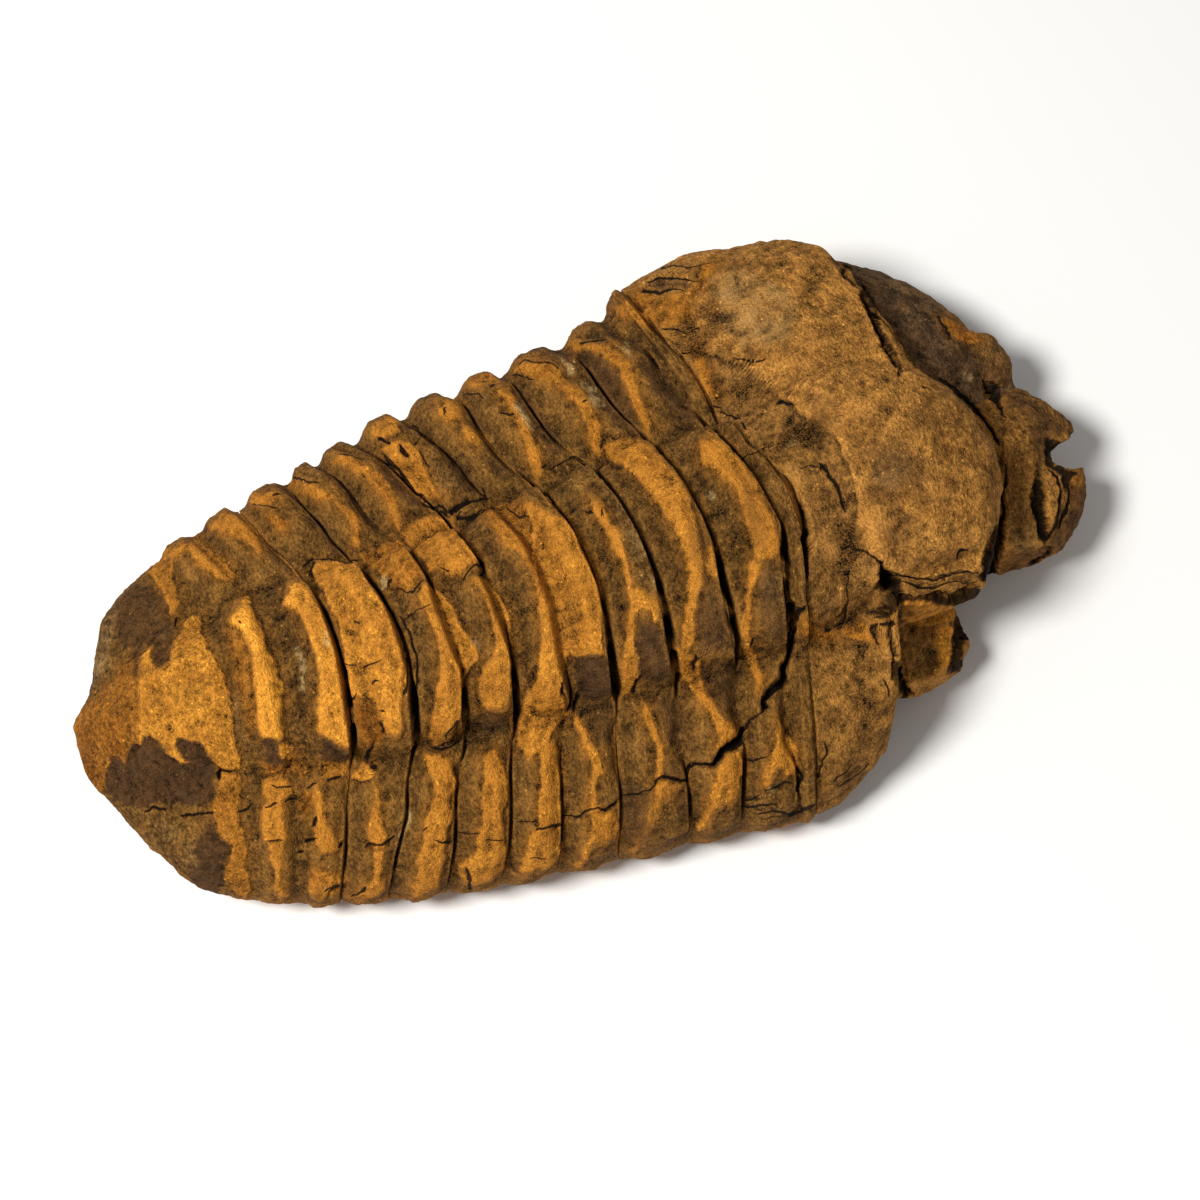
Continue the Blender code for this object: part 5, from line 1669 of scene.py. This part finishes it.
@dataclass
class Lump:
    """A rounded or broken lump of the rock that fills the shell.

    Attributes:
        name: the piece's name.
        centre: its middle, in mm.
        radii: half its length, width and height above the middle, in mm.
        depth: how far it reaches below the middle, in mm.
        turn_deg: turn about Z.
        tilt_deg: tilt about its own length.
        corner: 1 is round, below 1 boxy, above 1 pinched.
        meridians: points round it.
        parallels: rings of points from its top to its foot.
        facets: broken faces, as azimuth, elevation and distance from the middle.
        bitten: whether the notch between the front lips cuts it.
        sand: share of sandy shield colour.
        gloom: share of dark brown rock.
        wander: size and amount of its unevenness, in mm.
    """

    name: str
    centre: tuple[float, float, float]
    radii: tuple[float, float, float]
    depth: float
    turn_deg: float
    tilt_deg: float
    corner: float
    meridians: int = 190
    parallels: int = 130
    facets: tuple[tuple[float, float, float], ...] = ()
    bitten: bool = False
    sand: float = 0.0
    gloom: float = 0.0
    wander: tuple[Span, ...] = ((1.6, 0.22), (0.6, 0.12), (0.3, 0.06))

    def form(self) -> Array:
        """The lump's plain form, as rings by meridians by xyz in mm.

        Returns:
            The points.
        """
        polar = np.linspace(0.0, math.pi, self.parallels)[:, None]
        turn = np.linspace(0.0, 2 * math.pi, self.meridians, endpoint=False)[None, :]
        unit = np.stack(
            (np.sin(polar) * np.cos(turn), np.sin(polar) * np.sin(turn), np.cos(polar) * np.ones_like(turn)),
            axis=-1,
        )
        pushed = np.sign(unit) * np.abs(unit) ** self.corner
        place = pushed * np.array(self.radii)
        place[..., 2] = np.where(pushed[..., 2] < 0, pushed[..., 2] * self.depth, place[..., 2])
        rough = unevenness(place + np.array(self.radii) * LUMP_SPACING_MM, LUMP_SPACING_MM)
        place = place + unit * (rough * LUMP_ROUGHNESS_MM)[..., None]
        for azimuth, elevation, distance in self.facets:
            a, e = math.radians(azimuth), math.radians(elevation)
            face = np.array((math.cos(a) * math.cos(e), math.sin(a) * math.cos(e), math.sin(e)))
            place = place - face * np.maximum(place @ face - distance, 0.0)[..., None]
        tilt, turned = math.radians(self.tilt_deg), math.radians(self.turn_deg)
        rotation = np.array(Matrix.Rotation(turned, 3, "Z") @ Matrix.Rotation(tilt, 3, "X"))
        place = place @ rotation.T + np.array(self.centre)
        return self.bite(place) if self.bitten else place

    def bite(self, points: Array) -> Array:
        """Push points out of the notch between the front lips, towards the tail.

        Args:
            points: the lump's plain form, in mm.

        Returns:
            The points with the notch cut along the line of sight.
        """
        centre, radii = np.array(NOTCH_CENTRE), np.array(NOTCH_RADII)
        sight = CAMERA.axes()[2]
        lean = (points[..., 2:] - centre[2]) * (sight / sight[2])
        offset = (points - centre - lean) / radii
        spread = 1 - offset[..., 1] ** 2
        depth = radii[0] * np.sqrt(np.maximum(spread, 0.0))
        ahead = offset[..., 0] * radii[0] + depth
        shift = np.where((spread > 0) & (ahead > 0), ahead, 0.0)
        return points + shift[..., None] * TO_TAIL

    def build(self) -> bpy.types.Object:
        """Model the lump with its relief and its marks.

        Returns:
            The new piece.
        """
        form = self.form()
        normals = grid_normals(form)
        plain = Markings(form, normals)
        height = (plain.patches(CRUSTS)[2] + plain.patches(STRIPS)[2]) * plain.seen + plain.cuts()
        points = raised(form, normals, height, self.wander)
        marks = Markings(points, grid_normals(evened(points, COLOUR_PASSES)), COLOUR_FADE)
        crust, tone, _ = marks.patches(CRUSTS)
        strip = smooth_step(-STRIP_SOFT_MM, STRIP_SOFT_MM, marks.patches(STRIPS)[0]) * marks.seen
        values = marks.values() | {
            Mark.CRUST: np.where(marks.seen > SEEN_ENOUGH, crust, BARE_MM),
            Mark.CRUST_TONE: tone,
            Mark.SAND: np.maximum(self.sand, strip),
            Mark.GLOOM: self.gloom * (1 - STRIP_COVER * strip),
            # Raised places painted lighter and hollows painted darker, as light and shade
            Mark.RELIEF_LIGHT_AND_SHADE: painted_relief_shading(points),
        }
        return wrapped_sphere(self.name, points, values)


def linear(code: str) -> tuple[float, float, float, float]:
    """Turn an sRGB hex colour into Blender's linear colour."""
    shares = [int(code[place:place + 2], 16) / 255 for place in (1, 3, 5)]
    return (*[s / 12.92 if s <= 0.04045 else ((s + 0.055) / 1.055) ** 2.4 for s in shares], 1.0)


class Step(Enum):
    """A step in working out the stone's looks: its kind of node with its settings."""

    TIMES = ("ShaderNodeMath", {"operation": "MULTIPLY"})
    PLUS = ("ShaderNodeMath", {"operation": "ADD"})
    LESS = ("ShaderNodeMath", {"operation": "SUBTRACT"})
    UNSIGNED = ("ShaderNodeMath", {"operation": "ABSOLUTE"})
    GREATER = ("ShaderNodeMath", {"operation": "MAXIMUM"})
    RISE = ("ShaderNodeMapRange", {"interpolation_type": "SMOOTHSTEP"})
    BLEND = ("ShaderNodeMix", {"data_type": "RGBA"})
    NOISE = ("ShaderNodeTexNoise", {})
    CELLS = ("ShaderNodeTexVoronoi", {})
    CHANNELS = ("ShaderNodeSeparateColor", {})
    PLACE = ("ShaderNodeTexCoord", {})
    MARK = ("ShaderNodeAttribute", {})
    SQUEEZE = ("ShaderNodeVectorMath", {"operation": "MULTIPLY"})
    BRIGHTEN = ("ShaderNodeVectorMath", {"operation": "SCALE"})
    BUMP = ("ShaderNodeBump", {})


Source = bpy.types.NodeSocket | bpy.types.Node | float | tuple[float, ...]
Marks = dict[Mark, bpy.types.NodeSocket]
Adder = Callable[..., bpy.types.Node]


def connect(tree: bpy.types.NodeTree, socket: bpy.types.NodeSocket, source: Source) -> None:
    """Link an input to a socket or to a node's first output, or set its value.

    Args:
        tree: the material's node tree.
        socket: the input.
        source: what it takes.
    """
    if isinstance(source, bpy.types.Node):
        source = next(output for output in source.outputs if output.enabled)
    if isinstance(source, bpy.types.NodeSocket):
        tree.links.new(source, socket)
    else:
        socket.default_value = source


def add_node(
    tree: bpy.types.NodeTree, step: Step, *sources: Source, **settings: Source | str
) -> bpy.types.Node:
    """Add a node with its settings and links.

    Args:
        tree: the material's node tree.
        step: the kind of node.
        sources: what its first inputs take.
        settings: properties of the node, or what inputs of that name take.

    Returns:
        The new node.
    """
    kind, properties = step.value
    node = tree.nodes.new(kind)
    for name, setting in (properties | settings).items():
        if name in node.inputs:
            connect(tree, node.inputs[name], setting)
        else:
            setattr(node, name, setting)
    for socket, source in zip([socket for socket in node.inputs if socket.enabled], sources):
        connect(tree, socket, source)
    return node


def swing(add: Adder, pattern: Source, amount: float) -> bpy.types.Node:
    """A pattern about its middle, times an amount."""
    return add(Step.TIMES, add(Step.LESS, pattern, 0.5), amount)


def fall(add: Adder, source: Source, span: Span) -> bpy.types.Node:
    """A smooth fall from 1 to 0 over a span."""
    return add(Step.LESS, 1.0, add(Step.RISE, source, *span))


@dataclass(frozen=True)
class FossilStone:
    """Iron-stained sandy mudstone: a fine dark rock under an ochre crust of iron oxide.

    It is dull and grainy. Glints of its sand grains are painted into the colour as
    small highlights, its raised places are painted lighter and its hollows darker
    as light and shade, and its cracks, pits and slots are painted black as shade.
    The sizes are those of its patterns, and each pair says where a step starts and
    where it is full. The grain is drawn coarser than real: the finest of mudstone
    is far below a pixel.
    """

    rock: tuple[str, str] = ("#422b0e", "#855c28")
    sand: tuple[str, str] = ("#6e481d", "#b8803a")
    gloom: tuple[str, str] = ("#3c2a19", "#765a3c")
    crust: tuple[str, str, str] = ("#6a3d0e", "#9c6420", "#c8862c")
    wash_colour: str = "#80521c"
    # Dark of the chocolate films, also used for painted shade
    stain_and_shade_colour: str = "#4c3019"
    grey_colour: str = "#7b6540"
    bleach_colour: str = "#b0925e"
    # Black painted into the cracks, the pits and the slots as shade
    crack_shade_colour: str = "#0a0603"
    grain_mm: float = 0.12
    fleck_mm: float = 0.20
    fleck_squeeze: tuple[float, float, float] = (1.0, 0.6, 0.7)
    blotch_mm: float = 1.8
    mottle_mm: float = 0.9
    sparkle_mm: float = 0.36
    ragged_mm: float = 0.4
    ragged_reach_mm: float = 0.22
    wash_reach_mm: float = 0.95
    wash_flecks_mm: float = 1.2
    wash_strength: float = 0.6
    roughness: float = 0.88
    specular: float = 0.10
    noise_roughness: float = 0.6
    fine_detail: float = 3.0
    coarse_detail: float = 4.0
    tint_rise: Span = (0.34, 0.68)
    grey_rise: Span = (0.38, 0.62)
    grey_strength: float = 0.6
    shade_contrast: float = 4.0
    crust_edge_mm: Span = (-0.12, 0.20)
    stain_and_shade_rise: Span = (0.25, 0.48)
    stain_and_shade_strength: float = 0.9
    bleach_strength: float = 0.6
    base_light: float = 1.11
    # Raised places painted lighter and hollows darker, as light and shade
    relief_light_and_shade_contrast: float = 0.60
    grain_contrast: float = 2.9
    fleck_contrast: float = 0.25
    mottle_rise: Span = (0.44, 0.64)
    mottle_light: float = -0.42
    # Glints of sand grains, painted into the colour as small highlights
    glint_choice: Span = (0.91, 0.93)
    glint_edge: Span = (0.14, 0.32)
    glint_light: float = 1.4
    crack_edge_mm: Span = (-0.02, 0.045)
    crack_reach_mm: Span = (0.42, 0.5)
    crack_shade_strength: float = 0.92
    hollow_shade_strength: float = 0.9
    grain_bump: float = 0.7
    fleck_bump: float = 1.2
    bump_mm: float = 0.2

    def build(self) -> bpy.types.Material:
        """Make the material.

        Returns:
            The new material.
        """
        material = bpy.data.materials.new("iron_stained_mudstone")
        material.use_nodes = True
        tree = material.node_tree
        add = partial(add_node, tree)
        marks = {mark: add(Step.MARK, attribute_name=mark.value).outputs["Fac"] for mark in Mark}
        place = add(Step.PLACE).outputs["Object"]
        grain = add(Step.NOISE, place, **self.noise(self.grain_mm, self.fine_detail))
        squeezed = add(Step.SQUEEZE, place, self.fleck_squeeze)
        fleck = add(Step.NOISE, squeezed, **self.noise(self.fleck_mm, self.fine_detail))
        light = self.light(add, marks, place, grain, fleck)
        lit = add(Step.BRIGHTEN, self.colour(add, marks, place, fleck), light)
        height = add(Step.TIMES, grain, self.grain_bump)
        height = add(Step.PLUS, height, add(Step.TIMES, fleck, self.fleck_bump))
        shader = tree.nodes["Principled BSDF"]
        looks = {
            "Roughness": self.roughness,
            "Specular IOR Level": self.specular,
            "Base Color": add(Step.BLEND, self.darkness(add, marks), lit, linear(self.crack_shade_colour)),
            "Normal": add(Step.BUMP, Height=height, Strength=1.0, Distance=self.bump_mm * MM),
        }
        for name, source in looks.items():
            connect(tree, shader.inputs[name], source)
        return material

    def noise(self, size_mm: float, detail: float) -> dict[str, float]:
        """Settings of a noise with bumps of about the given size."""
        return {"Scale": 1 / (size_mm * MM), "Detail": detail, "Roughness": self.noise_roughness}

    def colour(self, add: Adder, marks: Marks, place: Source, fleck: Source) -> bpy.types.Node:
        """Colour the rock, its crust and its films, among them patches of painted shade.

        Args:
            add: adds a step to the material.
            marks: the surface's own value of each mark.
            place: where the surface is.
            fleck: the pattern of flecks.

        Returns:
            The colour before the light and the dark of its grain, its painted light and shade and its
            painted glints.
        """
        blotch = add(Step.NOISE, place, **self.noise(self.blotch_mm, self.coarse_detail))
        mixed = add(Step.PLUS, add(Step.TIMES, blotch, 0.5), add(Step.TIMES, fleck, 0.5))
        tint = add(Step.RISE, mixed, *self.tint_rise)
        pairs = (self.rock, self.sand, self.gloom)
        rock, sand, gloom = (add(Step.BLEND, tint, linear(dark), linear(pale)) for dark, pale in pairs)
        colour = add(Step.BLEND, marks[Mark.SAND], rock, sand)
        colour = add(Step.BLEND, marks[Mark.GLOOM], colour, gloom)
        grey = add(Step.TIMES, add(Step.RISE, mixed, *self.grey_rise), self.grey_strength)
        grey = add(Step.TIMES, marks[Mark.GREY], grey)
        colour = add(Step.BLEND, grey, colour, linear(self.grey_colour))

        ragged = add(Step.NOISE, place, **self.noise(self.ragged_mm, self.fine_detail))
        edge = add(Step.PLUS, marks[Mark.CRUST], swing(add, ragged, 2 * self.ragged_reach_mm))
        flecked = add(Step.PLUS, edge, swing(add, fleck, self.wash_flecks_mm))
        wash = add(Step.TIMES, add(Step.RISE, flecked, -self.wash_reach_mm, 0.0), self.wash_strength)
        colour = add(Step.BLEND, wash, colour, linear(self.wash_colour))
        shade = add(Step.PLUS, swing(add, mixed, self.shade_contrast), marks[Mark.CRUST_TONE])
        low, middle, high = (linear(code) for code in self.crust)
        crust = add(Step.BLEND, add(Step.RISE, shade, -1.0, 0.0), low, middle)
        crust = add(Step.BLEND, add(Step.RISE, shade, 0.0, 1.0), crust, high)
        colour = add(Step.BLEND, add(Step.RISE, edge, *self.crust_edge_mm), colour, crust)

        # Chocolate films, and painted shade where the patches are named for shade or shadow
        stain = add(Step.BLEND, tint, linear(self.gloom[0]), linear(self.stain_and_shade_colour))
        broken = add(Step.TIMES, add(Step.RISE, fleck, *self.stain_and_shade_rise), self.stain_and_shade_strength)
        colour = add(Step.BLEND, add(Step.TIMES, marks[Mark.STAIN_AND_SHADE], broken), colour, stain)
        bleach = add(Step.TIMES, marks[Mark.BLEACH], self.bleach_strength)
        return add(Step.BLEND, bleach, colour, linear(self.bleach_colour))

    def light(self, add: Adder, marks: Marks, place: Source, grain: Source, fleck: Source) -> bpy.types.Node:
        """Lighten and darken the stone by painted light and shade from its relief, by its grain and by its
        painted glints.

        Args:
            add: adds a step to the material.
            marks: the surface's own value of each mark.
            place: where the surface is.
            grain: the pattern of grains.
            fleck: the pattern of flecks.

        Returns:
            How many times its colour the stone is as bright.
        """
        # Painted light on raised places and painted shade in hollows
        worn = add(Step.TIMES, marks[Mark.RELIEF_LIGHT_AND_SHADE], self.relief_light_and_shade_contrast)
        grains = swing(add, grain, self.grain_contrast)
        grains = add(Step.PLUS, grains, swing(add, fleck, self.fleck_contrast))
        # Painted highlights: a few grain cells are brightened as glints
        cells = add(Step.CELLS, place, Scale=1 / (self.sparkle_mm * MM))
        chosen = add(Step.RISE, add(Step.CHANNELS, cells.outputs["Color"]), *self.glint_choice)
        glint = add(Step.TIMES, chosen, fall(add, cells.outputs["Distance"], self.glint_edge))
        mottle = add(Step.NOISE, place, **self.noise(self.mottle_mm, self.coarse_detail))
        mottle = add(Step.TIMES, add(Step.RISE, mottle, *self.mottle_rise), self.mottle_light)
        even = add(Step.PLUS, add(Step.PLUS, self.base_light, mottle), add(Step.PLUS, worn, grains))
        return add(Step.PLUS, add(Step.TIMES, glint, self.glint_light), even)

    def darkness(self, add: Adder, marks: Marks) -> bpy.types.Node:
        """Paint shade into the cracks, the pits and the slots.

        Args:
            add: adds a step to the material.
            marks: the surface's own value of each mark.

        Returns:
            How much painted shade covers the surface, from 0 to 1.
        """
        beside = add(Step.LESS, add(Step.UNSIGNED, marks[Mark.LINE_SIDE]), marks[Mark.LINE_HALF])
        reached = fall(add, marks[Mark.LINE_NEAR], self.crack_reach_mm)
        crack = add(Step.TIMES, fall(add, beside, self.crack_edge_mm), reached)
        hollow = add(Step.TIMES, marks[Mark.HOLLOW_SHADE], self.hollow_shade_strength)
        return add(Step.GREATER, add(Step.TIMES, crack, self.crack_shade_strength), hollow)


@dataclass(frozen=True)
class Studio:
    """A pale floor, a soft key light from the picture's left and a soft fill.

    Attributes:
        floor_mm: the floor's length and width.
        floor_colour: its colour.
        floor_roughness: how dull it is.
        key_power_w: the key light's power.
        key_size_mm: its width.
        key_distance_mm: its distance from the part.
        key_towards: where it hangs, to the picture's right, top and front.
        fill_strength: strength of the even light all round.
    """

    floor_mm: float = 1200.0
    floor_colour: str = "#f2f0ec"
    floor_roughness: float = 0.9
    key_power_w: float = 2.0
    key_size_mm: float = 120.0
    key_distance_mm: float = 420.0
    key_towards: tuple[float, float, float] = (-0.42, 0.10, 0.90)
    fill_strength: float = 0.30

    def build(self) -> None:
        """Add the floor, the lights and the world."""
        self.add_floor()
        self.add_key()
        world = bpy.data.worlds.new("studio_fill")
        world.use_nodes = True
        background = world.node_tree.nodes["Background"]
        background.inputs["Color"].default_value = linear("#ffffff")
        background.inputs["Strength"].default_value = self.fill_strength
        bpy.context.scene.world = world
        bpy.context.scene.view_settings.view_transform = "Standard"

    def add_floor(self) -> None:
        """Lay the floor at the fossil's base."""
        shape = bmesh.new()
        bmesh.ops.create_grid(shape, x_segments=1, y_segments=1, size=self.floor_mm * MM / 2)
        mesh = bpy.data.meshes.new("studio_floor")
        shape.to_mesh(mesh)
        shape.free()
        floor = bpy.data.objects.new("studio_floor", mesh)
        material = bpy.data.materials.new("pale_paper")
        material.use_nodes = True
        shader = material.node_tree.nodes["Principled BSDF"]
        shader.inputs["Base Color"].default_value = linear(self.floor_colour)
        shader.inputs["Roughness"].default_value = self.floor_roughness
        mesh.materials.append(material)
        bpy.context.scene.collection.objects.link(floor)

    def add_key(self) -> None:
        """Hang the key light to the left of the picture."""
        right, top, back = CAMERA.axes()
        towards = self.key_towards[0] * right + self.key_towards[1] * top + self.key_towards[2] * back
        towards /= np.linalg.norm(towards)
        data = bpy.data.lights.new("key_light", "AREA")
        data.shape = "DISK"
        data.size = self.key_size_mm * MM
        data.energy = self.key_power_w
        light = bpy.data.objects.new("key_light", data)
        light.location = Vector(towards * self.key_distance_mm * MM)
        light.rotation_euler = Vector(towards).to_track_quat("Z", "Y").to_euler()
        bpy.context.scene.collection.objects.link(light)


SKINS = (
    Skin("tail_shield", -1, 3),
    Skin("rear_trunk", 3, 8, ring_steps=36),
    Skin("front_trunk", 8, 12, ring_steps=36),
    Skin("head_shield", 12, 13, front_steps=225, back_strips=350,
         wander=((5.0, 0.22), (1.6, 0.18), (0.6, 0.12), (0.3, 0.02))),
)
LUMPS = (
    Lump("far_dome", (24.4, 9.2, 5.0), (10.9, 12.8, 7.0), 4.2, 0.0, 0.0, 1.25,
         facets=((33, 5, 9.5),), gloom=0.8),
    Lump("front_border", (28.2, 0.8, 5.6), (9.7, 7.6, 5.0), 4.6, 0.0, 0.0, 1.0, 300, 200,
         facets=((-100, 0, 5.4),), bitten=True, sand=0.7),
    Lump("front_beak", (34.6, 4.7, 6.2), (3.8, 2.3, 1.8), 1.8, -30.0, 0.0, 1.2, 150, 100,
         facets=((63, 16, 2.0),), bitten=True, sand=0.3, gloom=0.2),
    Lump("far_hook", (31.8, 9.5, 6.6), (3.4, 2.9, 2.2), 2.6, 20.0, 0.0, 0.9, 100, 70, sand=0.2, gloom=0.3),
    Lump("broken_chunk", (21.4, -8.9, 4.9), (3.8, 3.1, 4.0), 3.8, 14.0, 0.0, 0.65, 150, 100,
         facets=((-75, 55, 2.3), (-20, 30, 3.0), (80, 45, 3.0), (200, 50, 3.2), (-55, 5, 3.5)), sand=1.0),
    Lump("rib_fragment", (-9.0, 13.4, 10.6), (4.6, 1.4, 1.8), 1.8, -57.0, 12.0, 0.8, 100, 70),
)


def dress(piece: bpy.types.Object, material: bpy.types.Material) -> None:
    """Give a piece its finish, hide the solid that it takes the place of and hang it on the root body.

    Args:
        piece: the piece.
        material: its finish.
    """
    piece.data.materials.append(material)
    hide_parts(NODE)
    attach(piece, "root")


def main() -> None:
    """Build the fossil's pieces, the studio and the camera."""
    CAMERA.add_to_scene()
    Studio().build()
    stone = FossilStone().build()
    for part in (*SKINS, *LUMPS):
        piece = part.build()
        dress(piece, stone)
        log.info("%s: %d faces", piece.name, len(piece.data.polygons))


if __name__ == "__main__":
    main()
